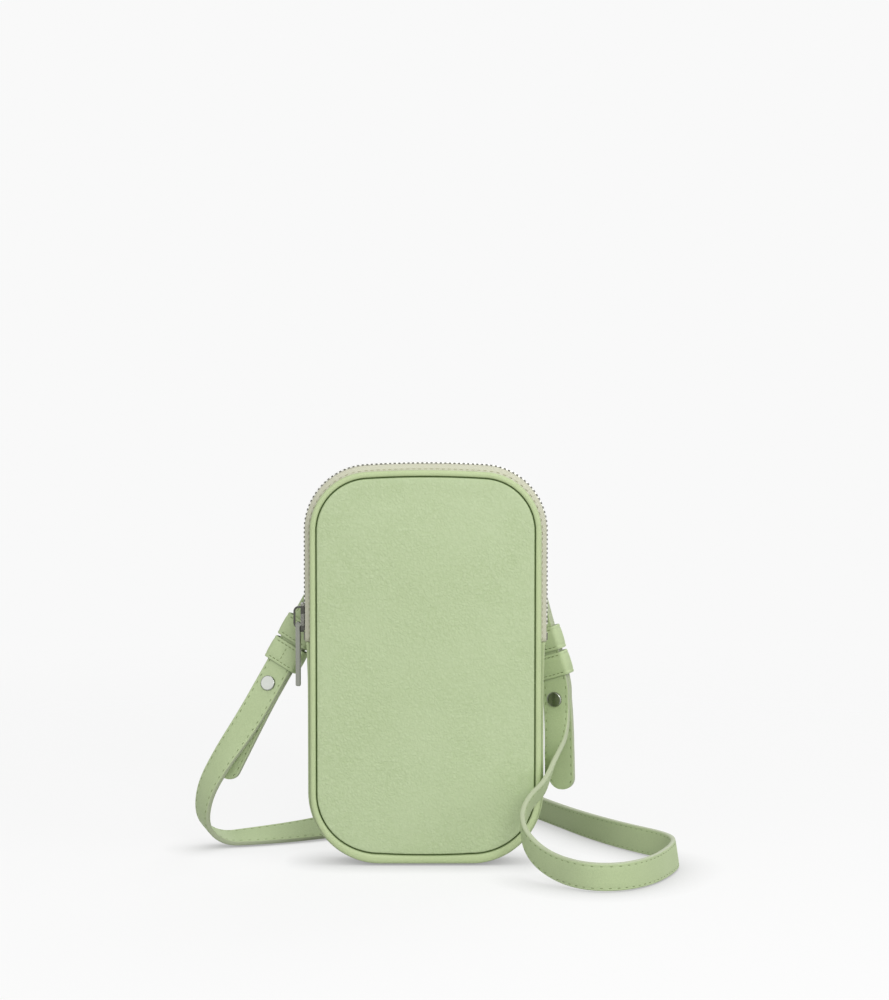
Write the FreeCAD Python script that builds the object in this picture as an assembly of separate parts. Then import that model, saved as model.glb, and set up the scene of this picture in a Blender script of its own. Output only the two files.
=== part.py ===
import FreeCAD, Part
import math
import os

# Soft leather phone pouch with a zip round its upper half and a long strap.
# X runs to the right, Y runs from the front to the back, Z runs up.
# The origin is on the floor, under the middle of the base.

# Outline of the front panel, which is also the groove between panel and rim
panel_half_width = 48.6
panel_base_height = 4.2
panel_top_height = 174.2
base_corner_radius = 28.0
top_corner_radius = 23.5
crown_radius = 420.0
half_depth = 12.5
fold_height = 100.0
fold_gap = 0.3

# Layers of the two broad walls
panel_thickness = 1.3
panel_edge_round = 0.6
board_thickness = 1.0
board_margin = 0.3
lining_thickness = 0.6
lining_inset = 0.5

# Rim that frames each panel, with its edge turned in behind the panel
groove_width = 0.35
rim_width = 3.2
rim_depth = 3.2
rim_step = 0.3
rim_outer_round = 1.7
rim_inner_round = 0.6
turn_in_width = 4.0
turn_in_thickness = 0.9

# Gusset round the lower half
gusset_thickness = 1.5

# Zip tape: sewn behind the rim, sloping out to a flat stretch at the teeth
tape_thickness = 0.7
tape_stand = 5.1
tape_seam_offset = 2.2
tape_flat_half = 5.6
tape_edge = 1.45

# Zip teeth
tooth_pitch = 2.05
tooth_length = 0.85
tooth_thickness = 1.9
tooth_slot_clearance = 0.1
tooth_leg_end = 2.4
tooth_shoulder = 0.2
tooth_reach = 0.5
tooth_tip_thickness = 1.2

# Slider: two plates joined by a wedge, with flanges that leave a slot for the tape
slider_stop_gap = 0.6
slider_length = 12.6
slider_plate = 1.1
slider_channel_clearance = 0.3
slider_tape_slot = 1.5
slider_flange = 0.9
slider_tail_half = 4.1
slider_mouth_half = 5.3
slider_tail_length = 4.5
slider_mouth_length = 3.0
slider_corner = 0.9
wedge_half_width = 0.9
wedge_foot_half = 0.6
wedge_bottom = 0.4
wedge_wide = 3.0
wedge_top = 7.0
row_spread = 1.7
row_spread_end = 3.0
row_spread_start = 9.6
first_tooth = 1.5

# End stops of the zip
stop_base_gap = 0.4
stop_height = 3.2
stop_half = 3.0
stop_tape_gap = 0.15

# Crown of the slider, with the pull forked over it on a pin
crown_bottom = 1.3
crown_length = 10.0
crown_height = 3.4
crown_wall = 0.9
crown_thickness = 1.5
crown_round = 2.4
pin_radius = 0.6
pin_stand = 1.3
pin_lift = 3.0
pin_clearance = 0.05
pull_width = 2.3
pull_depth = 4.0
pull_length = 27.8
pull_slot_clearance = 0.25
pull_slot_length = 4.6
pull_edge_round = 0.4
pull_side_round = 0.5

# Strap: a flat band, sewn double
strap_width = 12.5
strap_thickness = 2.4
arc_share = 0.45
sharp_turn_degrees = 25.0
gentle_steps = 2
sharp_steps = 4

# Turned-back strap ends; the rivet sits on a straight run below the strap's bend behind the pouch
rivet_below_bend = 41.0
tail_gap = 0.3
tail_overlap = 4.0
tail_tip_round = 5.0
tail_lengths = {"left": 49.0, "right": 42.0}
tail_lean_degrees = {"left": 0.0, "right": 9.0}
tail_swing_degrees = {"left": 7.0, "right": 0.0}

# Leather loops round the doubled strap, measured up from the rivet
loop_height = 10.5
loop_wall = 1.0
loop_clearance = 0.2
loop_edge_round = 1.8
keeper_place = 10.0
loop_place = 22.0

# Rivets
rivet_cap_radius = 3.45
rivet_cap_height = 1.0
rivet_cap_round = 0.5
rivet_post_radius = 1.3
rivet_foot_radius = 3.0
rivet_foot_height = 0.8
rivet_hole_clearance = 0.1

# Metal rings, and the leather chapes that hold them to the back panel
ring_wire_radius = 1.1
ring_side_clearance = 0.5
ring_height = 8.6
ring_corner_radius = 2.2
ring_strap_clearance = 0.2
chape_layer = 1.15
chape_wrap_clearance = 0.15
chape_panel_gap = 0.25
chape_width = 11.0
chape_length = 19.0
chape_corner_radius = 4.0

# Run of a cut past its piece, and how closely an edge has to lie to be picked for rounding
overrun = 5.0
pick_margin = 0.15
pick_along_share = 0.9

# Route of the strap's middle line from the left ring to the right ring, and the way its width lies
strap_route = [
    (-43.85, 15.8, 127.1), (-51.23, 17.0, 114.07), (-81.24, 17.0, 61.0), (-93.5, 19.0, 43.0),
    (-102.0, 24.0, 27.0), (-103.5, 31.0, 11.5), (-95.0, 38.0, 3.2), (-82.0, 41.0, 3.7),
    (-65.0, 48.0, 4.3), (-50.0, 56.0, 5.1), (-22.0, 76.0, 6.6), (5.5, 102.0, 6.6),
    (26.0, 127.0, 6.6), (47.0, 123.0, 6.6), (61.0, 87.0, 6.6), (76.0, 52.5, 6.6),
    (92.5, 23.5, 6.6), (108.3, 2.0, 6.6), (112.3, -14.0, 6.6), (107.9, -35.0, 6.6),
    (98.0, -60.0, 6.6), (84.0, -75.0, 6.6), (68.0, -74.0, 6.7), (55.0, -58.0, 8.0),
    (45.6, -47.0, 14.0), (42.3, -38.5, 22.5), (46.3, -28.5, 30.0), (54.8, -16.0, 37.0),
    (58.6, -1.0, 45.5), (60.6, 11.5, 53.0), (60.72, 17.0, 62.36), (51.17, 17.0, 111.46),
    (46.04, 15.8, 125.55),
]
strap_lay_shares = [
    (0.87, 0.0, -0.492), (0.807, -0.375, -0.456), (0.807, -0.375, -0.456), (0.66, -0.66, -0.35),
    (0.55, -0.8, -0.28), (0.42, -0.88, -0.22), (0.3, -0.93, -0.24), (0.25, -0.9, -0.36),
    (0.3, -0.82, -0.48), (0.35, -0.72, -0.6), (0.2, -0.3, -0.94), (0.0, 0.0, -1.0),
    (0.0, 0.1, -1.0), (0.1, 0.3, -0.94), (0.15, 0.35, -0.92), (0.1, 0.2, -0.97),
    (0.05, 0.05, -1.0), (0.1, 0.0, -0.99), (0.16, 0.0, -0.98), (0.12, 0.05, -0.98),
    (0.05, 0.15, -0.98), (0.0, 0.2, -0.98), (0.0, 0.2, -0.98), (0.05, 0.25, -0.95),
    (0.0, 0.45, -0.88), (0.05, 0.75, -0.65), (0.1, 0.88, -0.46), (0.1, 0.9, -0.4),
    (-0.25, 0.87, -0.4), (-0.72, 0.64, -0.27), (-0.89, 0.423, -0.173), (-0.89, 0.423, -0.173),
    (-0.94, 0.0, -0.342),
]
left_stretch_end = 10
right_stretch_start = 23

# Sizes worked out from those above
gusset_offset = panel_base_height
rim_offset = groove_width + rim_width
rim_face = half_depth - rim_step
seam_y = rim_face - rim_depth
panel_back = half_depth - panel_thickness
board_back = panel_back - board_thickness
lining_back = board_back - lining_thickness
tape_middle_x = panel_half_width + tape_stand
channel_half = tooth_thickness / 2 + slider_channel_clearance
slider_face_x = tape_middle_x + channel_half + slider_plate
slider_inner_x = tape_middle_x - channel_half - slider_plate
slider_base_height = fold_height + stop_base_gap + stop_height + slider_stop_gap
slider_top_height = slider_base_height + slider_length
pin_x = -(slider_face_x + pin_stand)
pin_height = slider_base_height + pin_lift
strap_front = -strap_thickness / 2
strap_back = strap_thickness / 2
tail_front = strap_back + tail_gap
tail_back = tail_front + strap_thickness
fold_inner_radius = ring_wire_radius + ring_strap_clearance
fold_outer_radius = fold_inner_radius + strap_thickness
ring_bar_back = strap_back + fold_inner_radius
ring_bar_y = strap_route[0][1] + ring_bar_back
fold_shift = 2 * ring_bar_back
tail_shift = tail_front + strap_back
chape_inner_radius = ring_wire_radius + chape_wrap_clearance
chape_outer_radius = chape_inner_radius + chape_layer
chape_bar_y = half_depth + chape_panel_gap + chape_outer_radius
ring_slope = ring_bar_y - chape_bar_y
ring_rise = math.sqrt(ring_height ** 2 - ring_slope ** 2)
base_corner_x = panel_half_width - base_corner_radius
base_corner_z = panel_base_height + base_corner_radius
top_corner_x = panel_half_width - top_corner_radius
crown_centre_z = panel_top_height - crown_radius
crown_lean = math.asin(top_corner_x / (crown_radius - top_corner_radius))
top_corner_z = crown_centre_z + (crown_radius - top_corner_radius) * math.cos(crown_lean)


def vector(x, y, z):
    return FreeCAD.Vector(x, y, z)


def box(x_low, x_high, y_low, y_high, z_low, z_high):
    return Part.makeBox(x_high - x_low, y_high - y_low, z_high - z_low, vector(x_low, y_low, z_low))


def on_circle(centre_x, centre_z, radius, angle, y):
    return vector(centre_x + radius * math.cos(angle), y, centre_z + radius * math.sin(angle))


def arc(centre_x, centre_z, radius, start, end, y):
    middle = (start + end) / 2
    points = [on_circle(centre_x, centre_z, radius, angle, y) for angle in (start, middle, end)]
    return Part.Arc(*points).toShape()


def outline(offset, y):
    # Rounded outline at a distance outside the groove: straight sides and base, round corners
    # and a slightly crowned top, all drawn from the same centres.
    quarter = math.pi / 2
    side = panel_half_width + offset
    base = panel_base_height - offset
    top_radius = top_corner_radius + offset
    base_radius = base_corner_radius + offset
    return Part.Wire([
        Part.makeLine(vector(-base_corner_x, y, base), vector(base_corner_x, y, base)),
        arc(base_corner_x, base_corner_z, base_radius, -quarter, 0, y),
        Part.makeLine(vector(side, y, base_corner_z), vector(side, y, top_corner_z)),
        arc(top_corner_x, top_corner_z, top_radius, 0, quarter - crown_lean, y),
        arc(0, crown_centre_z, crown_radius + offset, quarter - crown_lean, quarter + crown_lean, y),
        arc(-top_corner_x, top_corner_z, top_radius, quarter + crown_lean, 2 * quarter, y),
        Part.makeLine(vector(-side, y, top_corner_z), vector(-side, y, base_corner_z)),
        arc(-base_corner_x, base_corner_z, base_radius, 2 * quarter, 3 * quarter, y),
    ])


def slab(offset, y_from, y_to):
    return Part.Face(outline(offset, y_from)).extrude(vector(0, y_to - y_from, 0))


def frame(inner_offset, outer_offset, y_from, y_to):
    return slab(outer_offset, y_from, y_to).cut(slab(inner_offset, y_from, y_to))


def part_of(shape, z_low, z_high):
    # The stretch of a shape between two heights
    bounds = shape.BoundBox
    return shape.common(box(
        bounds.XMin - overrun, bounds.XMax + overrun,
        bounds.YMin - overrun, bounds.YMax + overrun, z_low, z_high))


def below_fold(shape):
    return part_of(shape, shape.BoundBox.ZMin - overrun, fold_height - fold_gap / 2)


def above_fold(shape):
    return part_of(shape, fold_height + fold_gap / 2, shape.BoundBox.ZMax + overrun)


def prism(points, direction):
    wire = Part.makePolygon(points + points[:1])
    return Part.Face(wire).extrude(direction)


def edges_at(shape, y, keep):
    # Edges that lie in one plane across the depth and pass a test on their middle point
    found = []
    for edge in shape.Edges:
        flat = max(abs(vertex.Y - y) for vertex in edge.Vertexes) < pick_margin
        if flat and keep(edge.CenterOfMass):
            found.append(edge)
    return found


def panel(side):
    # Flat leather panel with its outer edge rolled over
    face_y = side * half_depth
    plain = slab(0, face_y, side * panel_back)
    return plain.makeFillet(panel_edge_round, edges_at(plain, face_y, lambda point: True))


def rim(side):
    # Rounded bead round a panel; its inner edge is turned in flat behind the panel
    face_y = side * rim_face
    bead = frame(groove_width, rim_offset, face_y, side * seam_y)
    inside = slab((groove_width + rim_offset) / 2, face_y - overrun, face_y + overrun)
    outer_edges = edges_at(bead, face_y, lambda point: not inside.isInside(point, pick_margin, True))
    bead = bead.makeFillet(rim_outer_round, outer_edges)
    inner_edges = edges_at(bead, face_y, lambda point: inside.isInside(point, pick_margin, True))
    bead = bead.makeFillet(rim_inner_round, inner_edges)
    turn_in = frame(-turn_in_width, groove_width, side * panel_back, side * (panel_back - turn_in_thickness))
    return bead.fuse(turn_in).removeSplitter()


def board(side):
    return slab(-turn_in_width - board_margin, side * panel_back, side * board_back)


def lining(side):
    return slab(-lining_inset, side * board_back, side * lining_back)


def loft_ring(middle_offsets, depths, thickness):
    outer = Part.makeLoft([outline(o + thickness / 2, y) for o, y in zip(middle_offsets, depths)], True, True)
    inner = Part.makeLoft([outline(o - thickness / 2, y) for o, y in zip(middle_offsets, depths)], True, True)
    return outer.cut(inner)


def row_shift(height):
    # How far each row of teeth is pushed aside by the wedge at a height above the slider's base
    share = (row_spread_start - height) / (row_spread_start - row_spread_end)
    return row_spread * min(1.0, max(0.0, share))


def zip_tape(side):
    offsets = (tape_seam_offset, tape_stand, tape_stand)
    depths = (side * seam_y, side * tape_flat_half, side * tape_edge)
    tape = above_fold(loft_ring(offsets, depths, tape_thickness))
    parted = stop_half + stop_tape_gap
    spread_top = slider_base_height + row_spread_start
    spread_end = slider_base_height + row_spread_end
    x_out = tape_middle_x + overrun
    x_in = tape_middle_x - overrun
    left_gap = prism([
        vector(-x_out, -parted, fold_height - overrun), vector(-x_out, parted, fold_height - overrun),
        vector(-x_out, parted, spread_end), vector(-x_out, tape_edge, spread_top),
        vector(-x_out, -tape_edge, spread_top), vector(-x_out, -parted, spread_end),
    ], vector(x_out - x_in, 0, 0))
    right_gap = box(x_in, x_out, -parted, parted, fold_height - overrun, slider_base_height)
    return tape.cut(left_gap).cut(right_gap)


def tooth(side):
    # One tooth across the tape's edge, at the origin, with its length along Z
    half = tooth_thickness / 2
    tip = tooth_tip_thickness / 2
    slot = tape_thickness / 2 + tooth_slot_clearance
    slot_end = tape_edge - tooth_slot_clearance
    profile = [
        (half, tooth_leg_end), (half, tooth_shoulder), (tip, -tooth_reach), (-tip, -tooth_reach),
        (-half, tooth_shoulder), (-half, tooth_leg_end), (-slot, tooth_leg_end), (-slot, slot_end),
        (slot, slot_end), (slot, tooth_leg_end),
    ]
    base = -tooth_length / 2
    return prism([vector(x, side * y, base) for x, y in profile], vector(0, 0, tooth_length))


def chain_place(distance):
    # Place and heading at a distance along the teeth, from the left end over the top to the right end
    quarter = math.pi / 2
    radius = top_corner_radius + tape_stand
    start = slider_base_height + first_tooth
    straight = top_corner_z - start
    corner = radius * (quarter - crown_lean)
    crown = (crown_radius + tape_stand) * 2 * crown_lean
    if distance < straight:
        return -tape_middle_x, start + distance, 0.0
    distance -= straight
    if distance < corner:
        turn = distance / radius
        return -top_corner_x - radius * math.cos(turn), top_corner_z + radius * math.sin(turn), turn
    distance -= corner
    if distance < crown:
        turn = quarter - crown_lean + distance / (crown_radius + tape_stand)
        reach = crown_radius + tape_stand
        return -reach * math.cos(turn), crown_centre_z + reach * math.sin(turn), turn
    distance -= crown
    if distance < corner:
        turn = quarter + crown_lean + distance / radius
        return top_corner_x - radius * math.cos(turn), top_corner_z + radius * math.sin(turn), turn
    distance -= corner
    return tape_middle_x, top_corner_z - distance, 2 * quarter


def chain_length():
    quarter = math.pi / 2
    straight = top_corner_z - slider_base_height - first_tooth
    corner = (top_corner_radius + tape_stand) * (quarter - crown_lean)
    return 2 * straight + 2 * corner + (crown_radius + tape_stand) * 2 * crown_lean


def zip_teeth(side):
    # One row of teeth; the two rows stand half a pitch apart so that they mesh
    count = int(chain_length() / tooth_pitch)
    first = 0 if side < 0 else tooth_pitch / 2
    teeth = []
    for number in range(count):
        distance = first + number * tooth_pitch
        x, z, turn = chain_place(distance)
        shift = row_shift(first_tooth + distance)
        copy = tooth(side)
        copy.rotate(vector(0, 0, 0), vector(0, 1, 0), math.degrees(turn))
        copy.translate(vector(x, side * shift, z))
        teeth.append(copy)
    return Part.makeCompound(teeth)


def end_stops():
    half = tooth_thickness / 2
    base = fold_height + stop_base_gap
    stops = []
    for middle in (-tape_middle_x, tape_middle_x):
        stops.append(box(middle - half, middle + half, -stop_half, stop_half, base, base + stop_height))
    return Part.makeCompound(stops)


def slider_section(inset, run_past):
    # Outline of the slider across the chain: narrow where the teeth are joined, wide where they part
    top = slider_top_height + run_past
    base = slider_base_height - run_past
    tail = slider_tail_half - inset
    mouth = slider_mouth_half - inset
    corner = 0.0 if run_past else slider_corner
    right = [
        (tail - corner, top), (tail, top - corner), (tail, slider_top_height - slider_tail_length),
        (mouth, slider_base_height + slider_mouth_length), (mouth, base + corner), (mouth - corner, base),
    ]
    if run_past:
        right = right[1:5]
    left = [(-y, z) for y, z in reversed(right)]
    return right + left


def across_slider(section, x_low, x_high):
    points = [vector(-x_high, y, z) for y, z in section]
    return prism(points, vector(x_high - x_low, 0, 0))


def slider_body():
    block = across_slider(slider_section(0, 0), slider_inner_x, slider_face_x)
    channel = across_slider(
        slider_section(slider_flange, overrun), tape_middle_x - channel_half, tape_middle_x + channel_half)
    slot_half = slider_tape_slot / 2
    slot = box(
        -tape_middle_x - slot_half, -tape_middle_x + slot_half,
        -slider_mouth_half - overrun, slider_mouth_half + overrun,
        slider_base_height - overrun, slider_top_height + overrun)
    foot = slider_base_height + wedge_bottom
    wide = slider_base_height + wedge_wide
    wedge = across_slider([
        (wedge_foot_half, foot), (wedge_half_width, wide), (0, slider_base_height + wedge_top),
        (-wedge_half_width, wide), (-wedge_foot_half, foot),
    ], slider_inner_x, slider_face_x)
    return block.cut(channel.fuse(slot).cut(wedge)).removeSplitter()


def edges_along(shape, direction, keep):
    found = []
    for edge in shape.Edges:
        if len(edge.Vertexes) < 2:
            continue
        run = edge.Vertexes[1].Point.sub(edge.Vertexes[0].Point)
        if run.Length > 0 and abs(run.normalize().dot(direction)) > pick_along_share and keep(edge.CenterOfMass):
            found.append(edge)
    return found


def slider_crown():
    # Bridge on the slider's outer plate, open from front to back
    base = slider_base_height + crown_bottom
    top = base + crown_length
    half = crown_thickness / 2
    outer_x = slider_face_x + crown_height
    across = vector(0, 1, 0)
    bridge = box(-outer_x, -slider_face_x, -half, half, base, top)
    bridge = bridge.makeFillet(
        crown_round, edges_along(bridge, across, lambda point: point.x < -slider_face_x - crown_wall))
    hollow = box(
        -outer_x + crown_wall, -slider_face_x + overrun, -half - overrun, half + overrun,
        base + crown_wall, top - crown_wall)
    hollow = hollow.makeFillet(
        crown_round - crown_wall, edges_along(hollow, across, lambda point: point.x < -slider_face_x))
    return bridge.cut(hollow)


def pull_pin():
    near_end = vector(pin_x, -pull_depth / 2, pin_height)
    return Part.makeCylinder(pin_radius, pull_depth, near_end, vector(0, 1, 0))


def pull_tab():
    # Slim bar that hangs from the pin, forked at the top so that it straddles the crown
    half = pull_width / 2
    depth_half = pull_depth / 2
    across = vector(0, 1, 0)
    bar = box(pin_x - half, pin_x + half, -depth_half, depth_half, pin_height - pull_length, pin_height)
    bar = bar.makeFillet(
        half - pull_edge_round, edges_along(bar, across, lambda point: point.z < pin_height - half))
    bar = bar.makeFillet(pull_side_round, edges_along(bar, vector(0, 0, 1), lambda point: True))
    head = Part.makeCylinder(half, pull_depth, vector(pin_x, -depth_half, pin_height), across)
    slot_half = crown_thickness / 2 + pull_slot_clearance
    slot = box(
        pin_x - overrun, pin_x + overrun, -slot_half, slot_half,
        pin_height - pull_slot_length, pin_height + overrun)
    hole = Part.makeCylinder(
        pin_radius + pin_clearance, pull_depth + 2 * overrun,
        vector(pin_x, -depth_half - overrun, pin_height), across)
    return bar.fuse(head).removeSplitter().cut(slot).cut(hole)


def route_points():
    return [vector(*point) for point in strap_route]


def lay_at(place):
    index = min(int(place), len(strap_lay_shares) - 2)
    share = place - index
    return vector(*strap_lay_shares[index]) * (1 - share) + vector(*strap_lay_shares[index + 1]) * share


def strap_stations():
    # Straight runs joined by tangent arcs, each as large as its shorter run allows.
    # Every station holds its place along the route, a point and the way the strap runs there.
    points = route_points()
    first_way = points[1].sub(points[0]).normalize()
    stations = [(0.0, points[0], first_way)]
    radii = []
    for number in range(1, len(points) - 1):
        arrive = points[number].sub(points[number - 1])
        leave = points[number + 1].sub(points[number])
        trim = arc_share * min(arrive.Length, leave.Length)
        arrive_share = trim / arrive.Length
        leave_share = trim / leave.Length
        arrive.normalize()
        leave.normalize()
        turn = arrive.getAngle(leave)
        radius = trim / math.tan(turn / 2)
        radii.append(radius)
        axis = arrive.cross(leave).normalize()
        start = points[number].sub(arrive * trim)
        inward = axis.cross(arrive)
        steps = sharp_steps if math.degrees(turn) > sharp_turn_degrees else gentle_steps
        for step in range(steps + 1):
            share = step / steps
            angle = turn * share
            point = start + arrive * (radius * math.sin(angle)) + inward * (radius * (1 - math.cos(angle)))
            way = arrive * math.cos(angle) + inward * math.sin(angle)
            place = number - arrive_share + share * (arrive_share + leave_share)
            stations.append((place, point, way))
    last_way = points[-1].sub(points[-2]).normalize()
    stations.append((float(len(points) - 1), points[-1], last_way))
    print("strap arc radii mm:", [round(radius, 1) for radius in radii])
    return stations


def strap_section(station, shift_back):
    # The strap's cross-section at a station, moved back from the strap's own middle if asked
    place, point, way = station
    lay = lay_at(place)
    lay = lay.sub(way * lay.dot(way)).normalize()
    face = way.cross(lay)
    middle = point - face * shift_back
    half_lay = lay * (strap_width / 2)
    half_face = face * (strap_thickness / 2)
    corners = [
        middle + half_lay + half_face, middle - half_lay + half_face,
        middle - half_lay - half_face, middle + half_lay - half_face,
    ]
    return Part.makePolygon(corners + corners[:1])


def strap_stretch(stations):
    length = sum(after[1].distanceToPoint(before[1]) for before, after in zip(stations, stations[1:]))
    band = Part.makeLoft([strap_section(station, 0) for station in stations], True, True)
    print("strap stretch: length mm", round(length, 1), "volume", round(band.Volume, 1),
          "section times length", round(strap_width * strap_thickness * length, 1))
    return band


def end_places(side):
    # Places along the route of a strap end's ring, bend and straight run, from the ring down
    last = len(strap_route) - 1
    return (0, 1, 2) if side == "left" else (last, last - 1, last - 2)


def frame_at(origin, across, up):
    # Placement with X across and Z up, made square to each other
    across = across.sub(up * across.dot(up)).normalize()
    back = up.cross(across)
    return FreeCAD.Placement(FreeCAD.Matrix(
        across.x, back.x, up.x, origin.x, across.y, back.y, up.y, origin.y,
        across.z, back.z, up.z, origin.z, 0, 0, 0, 1))


def end_run(side):
    # The rivet's place and the way up, from the route's own straight end run
    points = route_points()
    _, bend, foot = end_places(side)
    up = points[bend].sub(points[foot]).normalize()
    return points[bend] - up * rivet_below_bend, up


def lay_to_right(place):
    lay = vector(*strap_lay_shares[place])
    return lay if lay.x > 0 else lay * -1


def placed(shape, side):
    # From the strap's own frame, with the rivet at the origin and Z up the strap, to the pouch's frame
    rivet, up = end_run(side)
    shape.Placement = frame_at(rivet, lay_to_right(end_places(side)[1]), up) * shape.Placement
    return shape


def fold_frame(side):
    # Frame of the strap's last section, where it meets the ring
    points = route_points()
    ring_place, bend, _ = end_places(side)
    up = points[ring_place].sub(points[bend]).normalize()
    return frame_at(points[ring_place], lay_to_right(ring_place), up)


def hung(shape, side):
    # From the ring's own frame, flat along the back panel, to the pouch's frame
    points = route_points()
    ring_place, bend, _ = end_places(side)
    up = points[ring_place].sub(points[bend])
    up.y = 0
    bar = fold_frame(side).multVec(vector(0, ring_bar_back, 0))
    origin = vector(bar.x, points[ring_place].y, bar.z)
    shape.Placement = frame_at(origin, vector(1, 0, 0), up.normalize()) * shape.Placement
    return shape


def rivet_hole(y_from, y_to):
    return Part.makeCylinder(
        rivet_post_radius + rivet_hole_clearance, y_to - y_from, vector(0, y_from, 0), vector(0, 1, 0))


def strap_tail(side, stations):
    # The strap's end: over the ring's bar, down behind the strap and past the rivet to a round tip
    half = strap_width / 2
    along = vector(1, 0, 0)
    centre = vector(-half, ring_bar_back, 0)
    fold = Part.makeCylinder(fold_outer_radius, strap_width, centre, along).cut(
        Part.makeCylinder(fold_inner_radius, strap_width, centre, along))
    fold = part_of(fold, 0, fold_outer_radius + overrun)
    fold.Placement = fold_frame(side) * fold.Placement
    ring_place, _, foot = end_places(side)
    upper = [s for s in stations if abs(s[0] - ring_place) < abs(s[0] - foot)]
    if side == "right":
        upper.reverse()
    reach = upper[-1][1].distanceToPoint(upper[0][1])
    sections = []
    for station in upper:
        share = station[1].distanceToPoint(upper[0][1]) / reach
        sections.append(strap_section(station, fold_shift + share * (tail_shift - fold_shift)))
    run_length = upper[-1][1].distanceToPoint(end_run(side)[0])
    run = placed(box(-half, half, tail_front, tail_back, -tail_overlap, run_length), side)
    lean = tail_lean_degrees[side]
    lower_top = half * math.tan(math.radians(lean)) - tail_overlap
    lower = box(-half, half, tail_front, tail_back, -tail_lengths[side], lower_top)
    lower = lower.makeFillet(
        tail_tip_round, edges_along(lower, vector(0, 1, 0), lambda point: point.z < -tail_lengths[side] / 2))
    lower.rotate(vector(0, 0, 0), vector(0, 1, 0), lean)
    lower.rotate(vector(0, tail_front, -tail_overlap), along, tail_swing_degrees[side])
    tail = Part.makeLoft(sections, True, True).fuse([fold, run, placed(lower, side)]).removeSplitter()
    return tail.cut(placed(rivet_hole(tail_front - overrun, tail_back + overrun), side))


def strap_loop(side, place):
    inner_half = strap_width / 2 + loop_clearance
    outer_half = inner_half + loop_wall
    front = strap_front - loop_clearance
    back = tail_back + loop_clearance
    top = place + loop_height
    outer = box(-outer_half, outer_half, front - loop_wall, back + loop_wall, place, top)
    outer = outer.makeFillet(loop_edge_round, edges_along(outer, vector(0, 0, 1), lambda point: True))
    return placed(outer.cut(box(-inner_half, inner_half, front, back, place - overrun, top + overrun)), side)


def rivet_cap(side):
    face_y = strap_front - rivet_cap_height
    cap = Part.makeCylinder(rivet_cap_radius, rivet_cap_height, vector(0, face_y, 0), vector(0, 1, 0))
    return placed(cap.makeFillet(rivet_cap_round, edges_at(cap, face_y, lambda point: True)), side)


def rivet_post(side):
    along = vector(0, 1, 0)
    post = Part.makeCylinder(rivet_post_radius, tail_back - strap_front, vector(0, strap_front, 0), along)
    foot = Part.makeCylinder(rivet_foot_radius, rivet_foot_height, vector(0, tail_back, 0), along)
    return placed(post.fuse(foot).removeSplitter(), side)


def ring(side):
    # Oblong wire ring, leaning back from the chape to the strap's fold
    reach = strap_width / 2 + ring_side_clearance + ring_wire_radius
    turn = ring_corner_radius
    half_pi = math.pi / 2
    straight = reach - turn
    path = Part.Wire([
        Part.makeLine(vector(-straight, 0, 0), vector(straight, 0, 0)),
        arc(straight, turn, turn, -half_pi, 0, 0),
        Part.makeLine(vector(reach, 0, turn), vector(reach, 0, ring_height - turn)),
        arc(straight, ring_height - turn, turn, 0, half_pi, 0),
        Part.makeLine(vector(straight, 0, ring_height), vector(-straight, 0, ring_height)),
        arc(-straight, ring_height - turn, turn, half_pi, 2 * half_pi, 0),
        Part.makeLine(vector(-reach, 0, ring_height - turn), vector(-reach, 0, turn)),
        arc(-straight, turn, turn, 2 * half_pi, 3 * half_pi, 0),
    ])
    wire_section = Part.Wire(Part.makeCircle(ring_wire_radius, vector(-straight, 0, 0), vector(1, 0, 0)))
    loop = path.makePipeShell([wire_section], True, False)
    loop.rotate(vector(0, 0, 0), vector(1, 0, 0), math.degrees(math.asin(ring_slope / ring_height)))
    loop.translate(vector(0, ring_bar_back, 0))
    return hung(loop, side)


def chape(side):
    # Leather strip wrapped over the ring's upper bar and sewn flat on the back panel
    half = chape_width / 2
    along = vector(1, 0, 0)
    bar_back = ring_bar_back - ring_slope
    panel = bar_back - chape_outer_radius - chape_panel_gap
    bar = ring_rise
    top = bar + chape_length
    wrap = Part.makeCylinder(chape_outer_radius, chape_width, vector(-half, bar_back, bar), along)
    flat = box(-half, half, panel, panel + 2 * chape_layer, bar, top)
    flat = flat.makeFillet(
        chape_corner_radius, edges_along(flat, vector(0, 1, 0), lambda point: point.z > top - chape_layer))
    bore = Part.makeCylinder(
        chape_inner_radius, chape_width + 2 * overrun, vector(-half - overrun, bar_back, bar), along)
    return hung(wrap.fuse(flat).removeSplitter().cut(bore), side)


def strap_nodes():
    stations = strap_stations()
    left = [station for station in stations if station[0] <= left_stretch_end]
    right = [station for station in stations if station[0] >= right_stretch_start]
    floor = [left[-1]] + [s for s in stations if left_stretch_end < s[0] < right_stretch_start] + [right[0]]
    nodes = {"strap_floor": strap_stretch(floor)}
    for side, stretch in (("left", left), ("right", right)):
        band = strap_stretch(stretch)
        nodes["strap_tail_" + side] = strap_tail(side, stretch)
        hole = placed(rivet_hole(strap_front - overrun, strap_back + overrun), side)
        nodes["strap_" + side] = band.cut(hole)
    return nodes


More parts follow.
